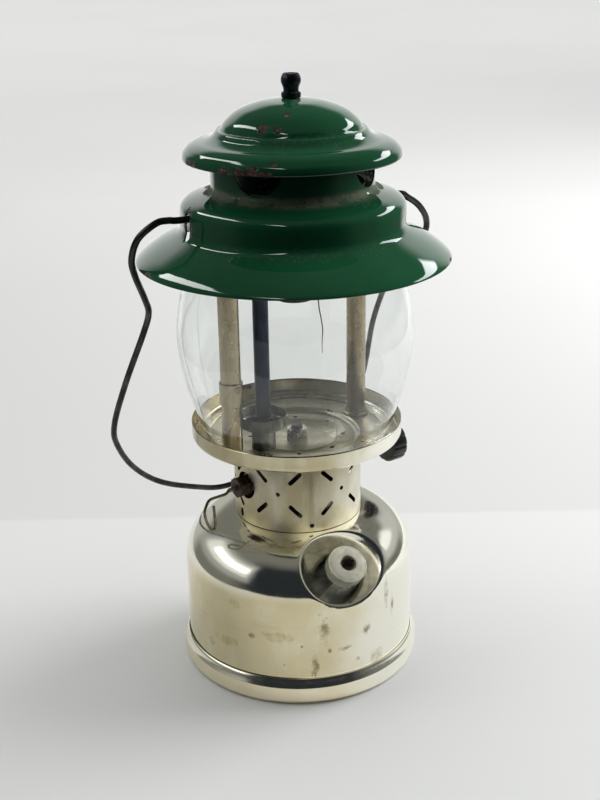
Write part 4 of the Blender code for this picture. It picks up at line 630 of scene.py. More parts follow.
def clear_glass():
    look = Look("clear_glass", Metallic=0.0, Transmission_Weight=1.0, IOR=1.45)
    smear = look.noise(26.0, 5.0, 0.6, (1, 1, 0.5))
    look.color(look.ramp(smear, [(0.3, (0.975, 0.985, 0.98)), (0.75, (0.93, 0.945, 0.935))]))
    look.rough(look.span(look.noise(55.0, 5.0, 0.65), 0.55, 0.8, 0.0, 0.05))
    look.bump(look.noise(14.0, 2.0, 0.5), 0.0004, 0.15)
    return look.material


GLASS_LOOK = clear_glass()

# ---------------------------------------------------------------- fount

SIDE_TOP, RISE, CROWN_R = 0.0775, 0.0355, 0.0435
CROWN = SIDE_TOP + RISE
FILLER_AT = frame_at(compass(28.8, 0.0600, 0.0848), tilted(28.8, 38.0))
PUMP_AT = frame_at(compass(-147.0, 0.0600, 0.0865), tilted(-147.0, 47.0))
PUMP_DISH = (PUMP_AT @ Vector((0, 0, 0.0300)), 0.0300, tilted(-147.0, 47.0))
DISH_EDGE = 0.0016            # how softly the shoulder rolls into a dish


def dished(p):
    """Press a point of the shoulder into the dishes' spheres, with a rolled edge."""
    for centre, radius, axis in (FILLER_DISH, PUMP_DISH):
        q = p - centre
        reach = q.dot(axis)
        inside = reach * reach - q.length_squared + radius * radius
        if inside <= 0:
            continue
        sink = reach + sqrt(inside)
        if reach > radius or sink < -0.02:
            continue
        soft = (sink + sqrt(sink * sink + DISH_EDGE ** 2)) / 2
        p = p - axis * soft
    return p


def fount_skin():
    steps = 420
    profile = [(FOUNT_R, 0.0036 + (SIDE_TOP - 0.0036) * k / 34) for k in range(34)]
    rows = 150
    for k in range(rows + 1):
        turn = pi / 2 * k / rows
        profile.append((CROWN_R + (FOUNT_R - CROWN_R) * cos(turn), SIDE_TOP + RISE * sin(turn)))
    profile += [(CROWN_R * (1 - k / 6), CROWN) for k in range(1, 6)]
    rings = []
    for r, h in profile:
        rings.append([dished(compass(360 * s / steps, r, h)) for s in range(steps)])
    rings.append([Vector((0, 0, CROWN))])
    return from_rings("fount_skin", rings, FOUNT_LOOK, sharp=60)


dress(fount_skin(), "lantern", "nickel_plate", "fount_shell")

BASE_R, CURL, BAND_TOP, LIP_TOP = 0.0861, 0.0046, 0.0140, 0.0195
curl = [(BASE_R - CURL * x, CURL * y) for x, y in
        ((1.0, 0.0), (0.80, 0.02), (0.60, 0.08), (0.38, 0.20), (0.20, 0.40), (0.06, 0.68),
         (0.0, 1.0))]
base = [(0, 0), (0.0660, 0), (0.0680, 0.0020), (0.0765, 0.0020), (0.0785, 0)] + curl
base += [(BASE_R, BAND_TOP - 0.0010), (BASE_R - 0.0002, BAND_TOP - 0.0003),
         (BASE_R - 0.0008, BAND_TOP + 0.0004), (0.0844, LIP_TOP - 0.0018),
         (0.0838, LIP_TOP - 0.0006), (0.0832, LIP_TOP), (0.0827, LIP_TOP - 0.0001),
         (0.0826, LIP_TOP - 0.0012), (0.0850, BAND_TOP - 0.001), (0.0850, CURL), (0.0800, 0.0010),
         (0.0765, 0.0030), (0.0680, 0.0030), (0.0660, 0.0010), (0, 0.0010)]
dress(lathe("base_band", base, BAND_LOOK, 320, sharp=40), "lantern", "nickel_plate", "fount_bottom")

# ---------------------------------------------------------------- filler cap

cap_outline = [
    (0.0021, 0.0135), (0.01125, 0.0135), (0.01125, 0.0058), (0.01335, 0.0058), (0.01375, 0.0062),
    (0.01375, 0.0088), (0.01360, 0.0090), (0.01360, 0.0093), (0.01375, 0.0095), (0.01375, 0.0148),
    (0.01355, 0.0154), (0.01290, 0.0157), (0.01270, 0.0157), (0.01262, 0.0154), (0.01230, 0.0154),
    (0.01222, 0.0157), (0.01195, 0.0158), (0.01100, 0.0161), (0.0078, 0.0164), (0.0064, 0.01645),
    (0.0057, 0.0162), (0.0055, 0.0152), (0.0052, 0.0148), (0.0021, 0.0147),
]
filler_cap = lathe("filler_cap_turned", cap_outline, CAP_LOOK, 160, FILLER_AT, sharp=28)
vent_at = frame_at(Vector((0, 0, 0.0072)), Vector((0, -1, 0)))
carve(filler_cap, [disc_cut(vent_at, 0.0011, 0.0105, 0.0150, 20)], sharp=28)
dress(filler_cap, "cap_body", "cap_nickel", "filler_cap")

screw_outline = [(0, 0.0120), (0.0018, 0.0120), (0.0018, 0.0150), (0.0046, 0.0150),
                 (0.0047, 0.0160), (0.0044, 0.0172), (0.0036, 0.0180), (0.0022, 0.0185),
                 (0, 0.0187)]
cap_screw = lathe("filler_cap_screw_turned", screw_outline, BROWN_LOOK, 64, FILLER_AT, loop=False,
                  sharp=40)
slot_corners = ((-0.006, -0.0006), (0.006, -0.0006), (0.006, 0.0006), (-0.006, 0.0006))
slot_tool = [[Vector((x, y, h)) for x, y in slot_corners] for h in (0.0174, 0.0200)]
carve(cap_screw, [slot_tool], sharp=40)
dress(cap_screw, "cap_screw_body", "browned_steel", "filler_cap_screw")

# ---------------------------------------------------------------- pump

pump_cap_outline = soften([(0.0031, 0.0082), (0.0098, 0.0082), (0.0098, 0.0036), (0.0130, 0.0036),
                           (0.0130, 0.0085), (0.0115, 0.0100), (0.0060, 0.0104), (0.0031, 0.0100)],
                           0.0006)
dress(lathe("pump_cap_turned", pump_cap_outline, CAP_LOOK, 120, PUMP_AT), "lantern", "cap_nickel",
      "pump_cap")
rod_top, knob_low, knob_top = 0.0240, 0.0200, 0.0280
rod_outline = [(0.0014, -0.0632), (0.0028, -0.0632), (0.0028, rod_top), (0.0014, rod_top)]
dress(lathe("pump_rod_turned", rod_outline, STEEL_LOOK, 48, PUMP_AT), "plunger_body", "plain_steel",
      "pump_rod")
knob_outline = soften([(0.0031, knob_low), (0.0060, knob_low), (0.0090, 0.0212), (0.0100, 0.0224),
                       (0.0100, 0.0256), (0.0090, 0.0268), (0.0060, knob_top), (0, knob_top),
                       (0, 0.0243), (0.0031, 0.0243)], 0.0007)
dress(lathe("pump_knob_turned", knob_outline, RUST_LOOK, 96, PUMP_AT, loop=False), "plunger_body",
      "browned_steel", "pump_knob")

# ---------------------------------------------------------------- collar

COLLAR_R, COLLAR_LOW, COLLAR_HIGH, CROSS_H = 0.0452, 0.1133, 0.1702, 0.1416
collar_outline = soften([(COLLAR_R - 0.0004, COLLAR_LOW), (COLLAR_R, COLLAR_LOW),
                         (COLLAR_R, COLLAR_HIGH), (COLLAR_R - 0.0004, COLLAR_HIGH)], 0.0001, 2)
band = lathe("collar_band", collar_outline, COLLAR_LOOK, 240)


SLOT_HALF, SLOT_LENGTH, SLOT_START = 0.00155, 0.0122, 0.0112
SLOT_MIDDLE = SLOT_START + SLOT_LENGTH / 2


def slot_rings(azimuth, lean, inner, outer):
    """A round-ended slot wrapped onto the collar, as a near and a far ring."""
    reach = Vector((cos(lean), sin(lean)))
    middle = reach * SLOT_MIDDLE
    flat = []
    for end in (-1, 1):
        for k in range(9):
            turn = lean + end * pi / 2 + pi * k / 8
            corner = SLOT_HALF * Vector((cos(turn), sin(turn)))
            flat.append(middle + reach * end * -(SLOT_LENGTH / 2 - SLOT_HALF) + corner)
    return [[compass(azimuth + p.x / COLLAR_R * 180 / pi, radius, CROSS_H + p.y) for p in flat]
            for radius in (inner, outer)]


CLEANER_AZ, VALVE_AZ = -54.0, 124.0
CLEANER_LINE, VALVE_LINE = radial(CLEANER_AZ, CROSS_H), radial(VALVE_AZ, CROSS_H)
NUT_CLEAR = 0.0122            # no slot comes nearer than this to the cleaner's hole
cuts = []
for k in range(6):
    azimuth = -18.0 + 60 * k
    for quadrant in range(4):
        lean = pi / 4 + quadrant * pi / 2
        apart = azimuth + cos(lean) * SLOT_MIDDLE / COLLAR_R * 180 / pi - CLEANER_AZ
        arc = radians((apart + 180) % 360 - 180) * COLLAR_R
        if hypot(arc, sin(lean) * SLOT_MIDDLE) < NUT_CLEAR:
            continue
        cuts.append(slot_rings(azimuth, lean, COLLAR_R - 0.003, COLLAR_R + 0.002))
    cuts.append(disc_cut(radial(azimuth, CROSS_H), 0.0016, 0.040, 0.048, 16))
for k in range(3):
    cuts.append(disc_cut(radial(12.0 + 120 * k, 0.1180), 0.0016, 0.040, 0.048, 16))
cuts.append(disc_cut(CLEANER_LINE, 0.0098, 0.038, 0.048, 40))
cuts.append(disc_cut(VALVE_LINE, 0.0060, 0.040, 0.048, 32))
cuts.append(disc_cut(radial(-61.0, 0.1188), 0.0035, 0.040, 0.048, 24, 0.57))
carve(band, cuts, sharp=32)
dress(band, "lantern", "nickel_plate", "collar")

# ---------------------------------------------------------------- valve, cleaner and knob

dress(hex_nut("cleaner_nut_chamfered", 0.0135, 0.0440, 0.0530, 0.0019, BROWN_LOOK, CLEANER_LINE),
      "lantern", "browned_steel", "cleaner_packing_nut")
dress(hex_nut("valve_nut_chamfered", 0.0120, 0.0243, 0.0333, 0.0028, BRASS_LOOK, VALVE_LINE),
      "lantern", "neck_brass", "valve_packing_nut")
lever_route = [(0.0575, 0), (0.0593, 0.0002), (0.0606, 0.0014), (0.0625, 0.0021),
               (0.0693, 0.0022)] + [
    (0.0793 - 0.0080 * x, 0.0259 * y) for x, y in
    ((0.71, 0.09), (0.42, 0.13), (0.26, 0.20), (0.00, 0.38), (0.02, 0.55), (0.20, 0.75),
     (0.48, 0.93), (0.72, 1.00), (0.90, 0.99), (1.00, 0.86), (0.97, 0.60), (0.92, 0.32))]
lever_path = curve_through([(0, -drop, reach) for reach, drop in lever_route], 8)
dress(wire("cleaner_lever_wire", lever_path, 0.0010, LEVER_LOOK, CLEANER_LINE, 4), "cleaner_body",
      "plain_steel", "cleaner_lever")

KNOB_BACK, KNOB_FACE, KNOB_R = 0.0781, 0.0901, 0.0148


def knob_ring(radius, height, grip=0.0):
    """A ring of the knob, its rim pressed in by a dozen shallow finger grips."""
    ring = []
    for s in range(288):
        turn = tau * s / 288
        dip = max(0.0, cos(turn * 12)) ** 3
        r = radius - 0.0009 * dip * grip
        ring.append((r * cos(turn), r * sin(turn), height))
    return ring


# Radius, height and how deep the grips are there
KNOB_PROFILE = (
    (0.0086, 0.0880), (0.0090, 0.0884), (0.0090, 0.0897), (0.0094, KNOB_FACE), (0.0128, KNOB_FACE),
    (0.0138, 0.0898, 0.5), (0.0145, 0.0892, 1), (KNOB_R, 0.0882, 1), (KNOB_R, 0.0801, 1),
    (0.0145, 0.0790, 1), (0.0138, 0.0784, 0.5), (0.0126, KNOB_BACK), (0.0064, KNOB_BACK),
    (0.0060, 0.0777), (0.0060, 0.0744), (0.0057, 0.0741), (0.0027, 0.0741), (0.0027, 0.0843),
)
knob_rings = [[(0, 0, 0.0880)], *[knob_ring(*ring) for ring in KNOB_PROFILE], [(0, 0, 0.0843)]]
dress(from_rings("valve_knob_moulded", knob_rings, KNOB_LOOK, VALVE_LINE, sharp=45),
      "valve_knob_body", "knob_plastic", "valve_knob")

# ---------------------------------------------------------------- pan, cup and tubes

GEN = compass(-49.4, 0.0303)
GEN_AT = Matrix.Translation(GEN)
LEFT_AT = Matrix.Translation(compass(CLEANER_AZ, 0.0540))
RIGHT_AT = Matrix.Translation(compass(CLEANER_AZ + 180, 0.0540))
PAN_R, PAN_FLOOR, PAN_MID, PAN_RIM = 0.0738, 0.1715, 0.1682, 0.1832
pan_outline = [
    (0.0043, PAN_MID - 0.001), (0.0415, PAN_MID - 0.001), (0.0424, PAN_MID - 0.0007),
    (0.0430, PAN_FLOOR - 0.0017), (0.0438, PAN_FLOOR - 0.001), (0.0690, PAN_FLOOR - 0.001),
    (0.0712, PAN_FLOOR - 0.0007), (0.0729, PAN_FLOOR + 0.0003), (0.0737, PAN_FLOOR + 0.0018),
    (PAN_R, PAN_FLOOR + 0.0035), (PAN_R, PAN_RIM - 0.0012), (PAN_R + 0.0001, PAN_RIM - 0.0006),
    (PAN_R - 0.0002, PAN_RIM - 0.0001), (PAN_R - 0.0007, PAN_RIM), (0.0729, PAN_RIM - 0.0004),
    (0.0728, PAN_RIM - 0.0010), (0.0728, PAN_FLOOR + 0.0030), (0.0722, PAN_FLOOR + 0.0012),
    (0.0710, PAN_FLOOR + 0.0002), (0.0690, PAN_FLOOR), (0.0452, PAN_FLOOR),
    (0.0444, PAN_FLOOR - 0.0002), (0.0437, PAN_FLOOR - 0.0010), (0.0428, PAN_MID + 0.0010),
    (0.0420, PAN_MID + 0.0002), (0.0410, PAN_MID), (0.0290, PAN_MID), (0.0284, PAN_MID + 0.0003),
    (0.0278, PAN_MID), (0.0043, PAN_MID),
]
pan = lathe("globe_pan_pressed", pan_outline, PAN_LOOK, 240, sharp=40)
holes = [disc_cut(GEN_AT, 0.0085, 0.160, 0.180, 32)]
for k in range(8):
    at = compass(2.0 + 45 * k, 0.0330)
    if (at - GEN).length > 0.0106:
        holes.append(disc_cut(Matrix.Translation(at), 0.0019, 0.160, 0.180, 20))
carve(pan, holes, sharp=40)
dress(pan, "lantern", "nickel_plate", "globe_pan")
dress(hex_nut("pan_nut_chamfered", 0.0140, PAN_MID + 0.0003, PAN_MID + 0.0055, 0.0043, NUT_LOOK),
      "lantern", "cap_nickel", "pan_nut")

cup_low, cup_top = 0.1841, 0.1929
cup_outline = [
    (0.0056, cup_low), (0.0143, cup_low), (0.0156, cup_low + 0.0005), (0.0164, cup_low + 0.0016),
    (0.0165, cup_low + 0.0026), (0.0165, cup_top - 0.0012), (0.0167, cup_top - 0.0006),
    (0.0165, cup_top - 0.0001), (0.0161, cup_top), (0.0158, cup_top - 0.0004),
    (0.0157, cup_low + 0.0026), (0.0150, cup_low + 0.0014), (0.0139, cup_low + 0.0008),
    (0.0056, cup_low + 0.0008),
]
dress(lathe("preheat_cup_spun", cup_outline, CUP_LOOK, 128, GEN_AT, sharp=40), "lantern",
      "blued_steel", "preheat_cup")
dress(hex_nut("generator_nut_chamfered", 0.0135, cup_low + 0.0011, cup_low + 0.0071, 0.0056,
              BROWN_LOOK, GEN_AT), "lantern",
      "browned_steel", "generator_nut")
gen_outline = [(0.0038, 0.1720), (0.0053, 0.1720), (0.0053, 0.2880), (0.0038, 0.2880)]
dress(lathe("generator_tube_turned", gen_outline, BLUED_LOOK, 64, GEN_AT), "lantern", "blued_steel",
      "generator_tube")

tube_low, tube_top = 0.1718, 0.2977
tube_outline = [(0.0060, tube_low), (0.0069, tube_low), (0.0069, tube_top), (0.0060, tube_top)]
for node, place in (("air_tube", LEFT_AT), ("support_tube", RIGHT_AT)):
    dress(lathe(node + "_turned", tube_outline, TUBE_LOOK, 72, place), "lantern", "tube_metal",
          node)
foot_outline = soften([(0.0072, tube_low), (0.0092, tube_low), (0.0092, tube_low + 0.0010),
                       (0.0080, tube_low + 0.0019), (0.0079, tube_low + 0.0040),
                       (0.0072, tube_low + 0.0040)], 0.0004)
dress(lathe("support_foot_turned", foot_outline, TUBE_LOOK, 72, RIGHT_AT), "lantern", "tube_metal",
      "support_foot")
sleeve_low, sleeve_top = 0.2052, 0.2209
sleeve_outline = [(0.0072, sleeve_low), (0.0078, sleeve_low), (0.0080, sleeve_low + 0.0005),
                  (0.0079, sleeve_low + 0.0012), (0.0079, sleeve_top - 0.0018),
                  (0.0081, sleeve_top - 0.0012), (0.0080, sleeve_top - 0.0003),
                  (0.0077, sleeve_top), (0.0072, sleeve_top)]
sleeve = lathe("tube_sleeve_clamp", sleeve_outline, TUBE_LOOK, 96, LEFT_AT)
dress(sleeve, "lantern", "tube_metal", "tube_sleeve")
stud_outline = soften([(0, 0.0076), (0.0012, 0.0076), (0.0012, 0.0108), (0.0017, 0.0110),
                       (0.0017, 0.0136), (0, 0.0139)], 0.0003)
dress(lathe("tube_sleeve_stud", stud_outline, BROWN_LOOK, 32,
            LEFT_AT @ frame_at(Vector((0, 0, 0.2172)), Vector((1, 0, 0))), loop=False), "lantern",
            "tube_metal")

# ---------------------------------------------------------------- burner, string, stud

burner_outline = soften([
    (0.0083, 0.2850), (0.0083, 0.2742), (0.0053, 0.2742), (0.0053, 0.2690), (0.01275, 0.2690),
    (0.0135, 0.2705), (0.0135, 0.2730), (0.0124, 0.2730), (0.0124, 0.2760), (0.0135, 0.2760),
    (0.0135, 0.2835), (0.0120, 0.2850)], 0.0005)
dress(lathe("burner_cap_turned", burner_outline, IRON_LOOK, 96), "lantern", "burner_casting",
      "burner_cap")
loop_path = [compass(360 * k / 60, 0.01305 + 0.0001 * sin(k * 1.7),
                     0.2745 + 0.00025 * sin(k * 0.9)) for k in range(60)]
dress(wire("tie_loop_cord", loop_path, 0.0005, STRING_LOOK, resolution=3, cyclic=True), "lantern",
      "tie_string", "mantle_tie_loop")

STRING_ROUTE = (
    (0.01339, -0.0037, 0.27450), (0.01440, -0.0040, 0.27420), (0.01560, -0.0046, 0.27200),
    (0.01610, -0.0050, 0.26850), (0.01650, -0.0052, 0.26300), (0.01760, -0.0053, 0.25700),
    (0.01850, -0.0056, 0.25100), (0.01880, -0.0059, 0.24600), (0.01840, -0.0058, 0.24100),
    (0.01830, -0.0055, 0.23600), (0.01850, -0.0053, 0.23100),
)
string_path = curve_through(STRING_ROUTE, 3)
tie = wire("tie_string_cord", string_path, 0.00040, STRING_LOOK, resolution=3)
FRAY_FROM = 0.62              # the share of its length from which the string thins
for index, point in enumerate(tie.data.splines[0].points):
    share = index / (len(string_path) - 1)
    point.radius = 1.0 - 0.5 * max(share - FRAY_FROM, 0.0) / (1 - FRAY_FROM)
dress(tie, "lantern", "tie_string", "mantle_tie_string")

vent_outline = [(0, 0.3023), (0.0024, 0.3023), (0.0024, 0.4100), (0, 0.4100)]
dress(lathe("vent_stud_turned", vent_outline, STEEL_LOOK, 32, loop=False), "lantern", "plain_steel",
      "vent_stud")
for node, low, high in (("strap_nut", 0.3116, 0.3156), ("baffle_nut", 0.3500, 0.3540)):
    dress(hex_nut(node + "_chamfered", 0.0095, low, high, 0.0027, STEEL_LOOK), "lantern",
          "plain_steel", node)
baffle_line = curve_through([(0.0470, 0.3483), (0.0400, 0.3498), (0.0280, 0.3522), (0.0160, 0.3543),
                             (0.0090, 0.3544), (0.0027, 0.3544)], 4)
dress(lathe("vent_baffle_pressed", sheet(baffle_line, -0.0007), DARK_LOOK), "lantern",
      "dark_enamel", "vent_baffle")

# ---------------------------------------------------------------- hood

hood_line = curve_through([
    (0.1050, 0.2985), (0.1055, 0.2992), (0.1036, 0.3016), (0.0980, 0.3062), (0.0901, 0.3113),
    (0.0812, 0.3158), (0.0773, 0.3182), (0.0753, 0.3212), (0.0750, 0.3240)], 6)
hood_line += curve_through([(0.0750, 0.3250), (0.0750, 0.3305), (0.0744, 0.3354), (0.0719, 0.3386),
                            (0.0680, 0.3409), (0.0600, 0.3437), (0.0566, 0.3450), (0.0546, 0.3472),
                            (0.0543, 0.3496)],
                            6)
hood_line += [Vector((0.0543, 0.3560)), Vector((0.0543, 0.3776))]
hood = lathe("hood_enamelled", sheet(hood_line, 0.0010), HOOD_LOOK, 280, sharp=50)
BAIL_AZ, BAIL_HEIGHT = 115.5, 0.3320
cuts = []
for k in range(4):
    cuts.append(disc_cut(radial(-25.0 + 90 * k, 0.3657), 0.0168, 0.040, 0.0565, 48))
for azimuth in (BAIL_AZ, BAIL_AZ - 180):
    at = radial(azimuth, BAIL_HEIGHT)
    ring = []
    for k in range(24):
        turn = tau * k / 24
        lift = 0.0008 if sin(turn) > 0 else -0.0105
        ring.append((0.0040 * cos(turn), lift + 0.0040 * sin(turn)))
    cuts.append([[at @ Vector((x, y, h)) for x, y in ring] for h in (0.066, 0.0785)])
carve(hood, cuts, sharp=50)
dress(hood, "lantern", "green_enamel", "hood")

cap_line = curve_through([
    (0.0712, 0.3655), (0.0718, 0.3657), (0.0721, 0.3672), (0.0714, 0.3700), (0.0698, 0.3722),
    (0.0672, 0.3746), (0.0630, 0.3764), (0.0580, 0.3774), (0.0545, 0.3786), (0.0520, 0.3802),
    (0.0502, 0.3824), (0.0488, 0.3838), (0.0470, 0.3838), (0.0460, 0.3850), (0.0446, 0.3876),
    (0.0420, 0.3905), (0.0380, 0.3939), (0.0330, 0.3967), (0.0260, 0.3993), (0.0187, 0.4012),
    (0.0100, 0.4023), (0.0050, 0.4026), (0.0030, 0.4026)], 5)
cap = lathe("hood_cap_enamelled", sheet(cap_line, 0.0010), TOP_LOOK, 280, sharp=50)
dress(cap, "lantern", "green_enamel", "hood_cap")

ball_outline = [(0.0027, 0.4029), (0.0059, 0.4029), (0.0063, 0.4032), (0.0064, 0.4046),
                (0.0063, 0.4061), (0.0057, 0.4064), (0.0051, 0.4067), (0.0049, 0.4078),
                (0.0051, 0.4092), (0.0054, 0.4101)]
for k in range(15):
    turn = -0.56 + (0.70 + 0.56) * k / 14
    ball_outline.append((0.0065 * cos(turn), 0.4139 + 0.0065 * sin(turn)))
ball_outline += [(0.0045, 0.4176), (0.0040, 0.4177), (0.0034, 0.4176), (0, 0.4175), (0, 0.4109),
                 (0.0027, 0.4109)]
dress(lathe("ball_nut_turned", ball_outline, BALL_LOOK, 96, loop=False, sharp=40), "ball_nut_body",
      "browned_steel", "ball_nut")

# ---------------------------------------------------------------- bail

LEFT_SHARES = ((0.800, -0.003), (0.874, 0.001), (0.970, 0.038), (0.993, 0.093), (0.959, 0.143),
               (0.870, 0.222), (0.832, 0.268), (0.848, 0.334), (0.918, 0.494), (0.956, 0.640),
               (0.914, 0.723), (0.765, 0.828), (0.535, 0.916), (0.224, 0.976))
RIGHT_SHARES = ((0.000, 1.000), (0.224, 0.978), (0.535, 0.920), (0.780, 0.828), (0.925, 0.720),
                (0.957, 0.622), (0.888, 0.443), (0.880, 0.345), (0.905, 0.290), (1.000, 0.195),
                (1.040, 0.134), (1.010, 0.088), (0.918, 0.044), (0.810, 0.014))
HALF, LENGTH, HINGE = 0.1100, 0.3025, Vector((0, 0, BAIL_HEIGHT))
LEAN = radians(28.7)          # how far the bail hangs backwards
tips = [(0.0570, 0), (0.0810, 0)]
whole = [(-x, y) for x, y in tips] + [(-HALF * x, LENGTH * y) for x, y in LEFT_SHARES]
whole += [(HALF * x, LENGTH * y) for x, y in RIGHT_SHARES] + tips[::-1]
along = compass(BAIL_AZ, 1)
back = along.cross(Vector((0, 0, -1)))
down = back * sin(LEAN) + Vector((0, 0, -cos(LEAN)))
bail_path = curve_through([HINGE + along * x + down * y for x, y in whole], 8)
dress(wire("bail_wire", bail_path, 0.00225, BAIL_LOOK, resolution=6), "bail_body", "bail_wire",
      "bail")

# ---------------------------------------------------------------- globe

GLOBE_SHARES = ((0.779, 0.000), (0.822, 0.060), (0.885, 0.170), (0.955, 0.310), (1.000, 0.487),
                (0.974, 0.640), (0.892, 0.850), (0.846, 1.000))
globe_line = curve_through([(0.0813 * x, 0.1718 + 0.1462 * y) for x, y in GLOBE_SHARES], 8)
globe = lathe("globe_glass", sheet(globe_line, 0.0016), GLASS_LOOK, 200, sharp=60)
globe.visible_shadow = False
dress(globe, "lantern", "clear_glass", "globe")

# ---------------------------------------------------------------- nodes kept from the frame

for node, look in {
    "filler_neck": BODY_LOOK, "filler_gasket": RUBBER_LOOK, "pump_barrel": BRASS_LOOK,
    "pump_check_valve": BRASS_LOOK, "pump_air_stem": STEEL_LOOK, "pump_leather": LEATHER_LOOK,
    "valve_body": BODY_LOOK, "fuel_pickup_tube": BRASS_LOOK, "valve_stem": STEEL_LOOK,
    "valve_knob_screw": STEEL_LOOK, "cleaner_shaft": STEEL_LOOK, "cleaning_needle": STEEL_LOOK,
    "burner_frame": IRON_LOOK, "bail_bracket": BROWN_LOOK,
}.items():
    NODES[node].data.materials.clear()
    NODES[node].data.materials.append(look)

# ---------------------------------------------------------------- floor, light and camera

BACK_LINE = 0.2085            # where the photograph's floor meets its backdrop


def stage_plane(name, corners, height, look):
    mesh = bpy.data.meshes.new(name)
    mesh.from_pydata([(x, y, height) for x, y in corners], [], [(0, 1, 2, 3)])
    item = link(name, mesh, look)
    return item


def floor_look():
    look = Look("pale_floor", Roughness=0.7)
    y = look.axis(1)
    behind = look.span(y, BACK_LINE - 0.004, BACK_LINE + 0.004)
    color = look.mix(behind, (0.80, 0.805, 0.80), (0.74, 0.745, 0.735))
    color = look.mix(look.span(y, 0.20, 2.0), color, (0.95, 0.95, 0.94))
    cloud = look.times(look.span(look.noise(1.3, 3.0, 0.5), 0.35, 0.7), 0.12)
    look.color(look.mix(cloud, color, (0.68, 0.69, 0.69)))
    look.put(look.shader.inputs["Emission Color"],
             look.mix(look.span(y, 0.25, 5.0), (0, 0, 0), (1, 1, 0.99)))
    look.shader.inputs["Emission Strength"].default_value = 0.17
    return look.material


FLOOR_LOOK = floor_look()
FLOOR_FRONT, REFLECTED_FRONT, LEVEL, WIDE, FAR = -0.4, -0.47, -0.0003, 20, 40


def rectangle(x0, x1, y0, y1):
    return [(x0, y0), (x1, y0), (x1, y1), (x0, y1)]


# The floor is seen, and lights nothing; the metal mirrors only a piece of it near the lantern
floor = stage_plane("floor", rectangle(-WIDE, WIDE, FLOOR_FRONT, FAR), LEVEL, FLOOR_LOOK)
apron = stage_plane("apron", rectangle(-WIDE, WIDE, -WIDE, FLOOR_FRONT), LEVEL, FLOOR_LOOK)
for item in (floor, apron):
    item.visible_glossy = False
    item.visible_diffuse = False
near_floor = stage_plane("near_floor", rectangle(-0.52, 0.85, REFLECTED_FRONT, 1.6), -0.0002,
                         FLOOR_LOOK)
near_floor.visible_camera = False
near_floor.visible_diffuse = False
near_floor.visible_shadow = False
near_floor.visible_transmission = False


def softbox(name, place, aim, width, height, power):
    data = bpy.data.lights.new(name, "AREA")
    data.shape = "RECTANGLE"
    data.size, data.size_y, data.energy = width, height, power
    item = bpy.data.objects.new(name, data)
    scene.collection.objects.link(item)
    item.location = place
    item.rotation_mode = "QUATERNION"
    item.rotation_quaternion = (Vector(aim) - Vector(place)).to_track_quat("-Z", "Y")
    item.visible_camera = False
    item.visible_glossy = False


softbox("right_box", compass(112, 1.84, 0.98), (0, 0, 0.15), 1.40, 0.80, 32.0)
softbox("left_box", compass(-85, 1.88, 1.30), (0, 0, 0.15), 1.20, 0.60, 4.0)

world = bpy.data.worlds.new("studio")
scene.world = world
world.use_nodes = True
sky = Nodes(world.node_tree)
paths = sky.node("ShaderNodeLightPath").outputs
direction = sky.node("ShaderNodeTexCoord").outputs["Generated"]
across, along_y, rise = sky.parts(direction)
level = sky.math("MAXIMUM", sky.length(across, along_y), 0.001)
facing = sky.math("DIVIDE", sky.times(along_y, -1.0), level)
side = sky.math("DIVIDE", across, level)

# Matt surfaces: a pale room that is dim in front
pale = (0.93, 0.935, 0.92)
dim = sky.times(sky.span(facing, -0.10, 0.45), sky.span(rise, 0.95, 0.70))
even = sky.mix(paths["Is Camera Ray"], sky.mix(dim, pale, (0.03, 0.035, 0.04)), pale)

# Bright metal: dark in front, a window on either side, white behind
front = sky.times(sky.span(facing, 0.30, 0.74), sky.span(rise, 0.93, 0.72))
back_low = sky.times(sky.span(facing, -0.55, -0.80), sky.span(rise, 0.42, 0.28))
room = sky.mix(back_low, (0.165, 0.165, 0.145), (0.46, 0.46, 0.44))
room = sky.mix(front, room, (0.020, 0.024, 0.028))
left = sky.span(side, -0.3, -0.5)
right = sky.span(side, 0.3, 0.5)
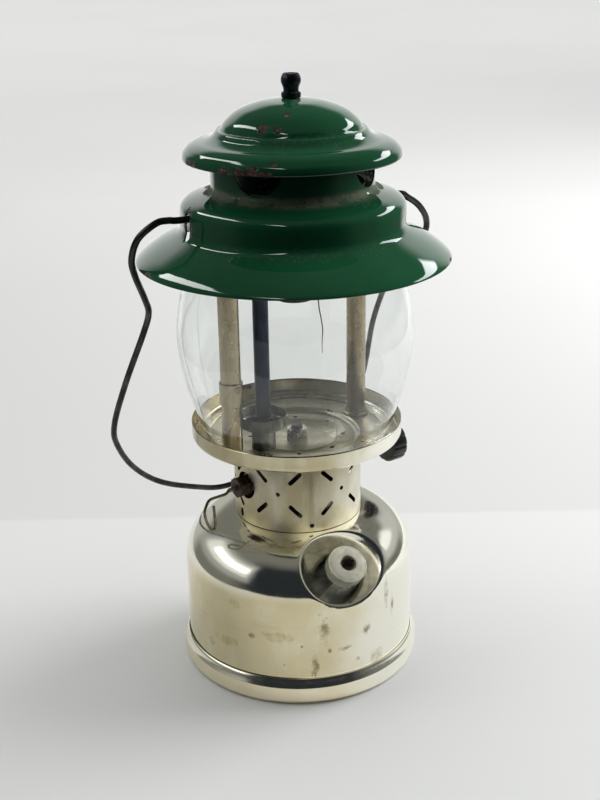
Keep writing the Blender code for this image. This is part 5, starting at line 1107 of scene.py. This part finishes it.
# A window's limits, each from where it starts to where it is full: part of the room, nearest
# and farthest facing, lowest and highest rise, colour
WINDOWS = (
    (left, (0.68, 0.58), (-0.74, -0.60), (0.06, 0.22), (0.78, 0.68), (0.33, 0.335, 0.32)),
    (left, (0.60, 0.55), (-0.62, -0.50), (0.26, 0.36), (0.70, 0.60), (0.75, 0.76, 0.74)),
    (left, (0.56, 0.52), (-0.40, -0.32), (0.42, 0.45), (0.60, 0.57), (2.00, 2.03, 1.98)),
    (right, (0.20, -0.25), (-0.96, -0.84), (0.02, 0.20), (0.56, 0.42), (0.52, 0.53, 0.51)),
    (right, (-0.20, -0.34), (-0.74, -0.62), (0.26, 0.36), (0.60, 0.50), (1.00, 1.02, 1.00)),
)
for half, near, far, low, high, glow in WINDOWS:
    pane = sky.times(half, sky.span(facing, *near), sky.span(facing, *far),
                     sky.span(rise, *low), sky.span(rise, *high))
    room = sky.mix(pane, room, glow)
twice = sky.times(sky.span(paths["Glossy Depth"], 1.4, 1.6), sky.span(across, -0.15, 0.10))
room = sky.mix(twice, room, (1.55, 1.55, 1.50))

# Mirror-smooth enamel: a strip lamp on the left and a window on the right
off_strip = sky.math("ABSOLUTE", sky.vector("DOT_PRODUCT", direction,
                                            (0.760, 0.4245, 0.492))["Value"])
strip = sky.times(sky.span(off_strip, 0.050, 0.040), sky.span(rise, 0.47, 0.50),
                  sky.span(rise, 0.85, 0.82), sky.span(side, -0.1, -0.3))
pane = sky.times(sky.span(facing, -0.20, -0.24), sky.span(facing, -0.81, -0.77),
                 sky.span(side, 0.2, 0.4), sky.span(rise, 0.36, 0.39), sky.span(rise, 0.53, 0.51))
behind = sky.times(sky.span(facing, -0.70, -0.86), sky.span(rise, 0.58, 0.42))
clear = sky.mix(behind, (0.11, 0.11, 0.105), (1.15, 1.16, 1.15))
clear = sky.mix(front, clear, (0.010, 0.012, 0.014))
clear = sky.mix(strip, clear, (9.0, 9.2, 9.0))
clear = sky.mix(pane, clear, (8.0, 8.3, 8.4))
room = sky.mix(paths["Is Singular Ray"], room, clear)
seen = sky.mix(paths["Is Glossy Ray"], even, room)
sky.put(sky.tree.nodes["Background"].inputs["Color"], seen)
scene.view_settings.view_transform = "Standard"

# The camera was fitted to the rings of band, collar, pan and hood in the photograph
CAMERA_AT = (0, -0.818, 0.514)
TURN, TILT, ROLL, FOCAL_MM, SENSOR_MM = -0.18, 90 - 21.35, -0.93, 56.25, 36.0
lens = bpy.data.cameras.new("camera")
lens.sensor_fit = "AUTO"
lens.sensor_width = SENSOR_MM
lens.lens = FOCAL_MM
camera = bpy.data.objects.new("camera", lens)
scene.collection.objects.link(camera)
camera.matrix_world = (Matrix.Translation(CAMERA_AT) @ Matrix.Rotation(radians(TURN), 4, "Z")
                       @ Matrix.Rotation(radians(TILT), 4, "X")
                       @ Matrix.Rotation(radians(ROLL), 4, "Z"))
scene.camera = camera
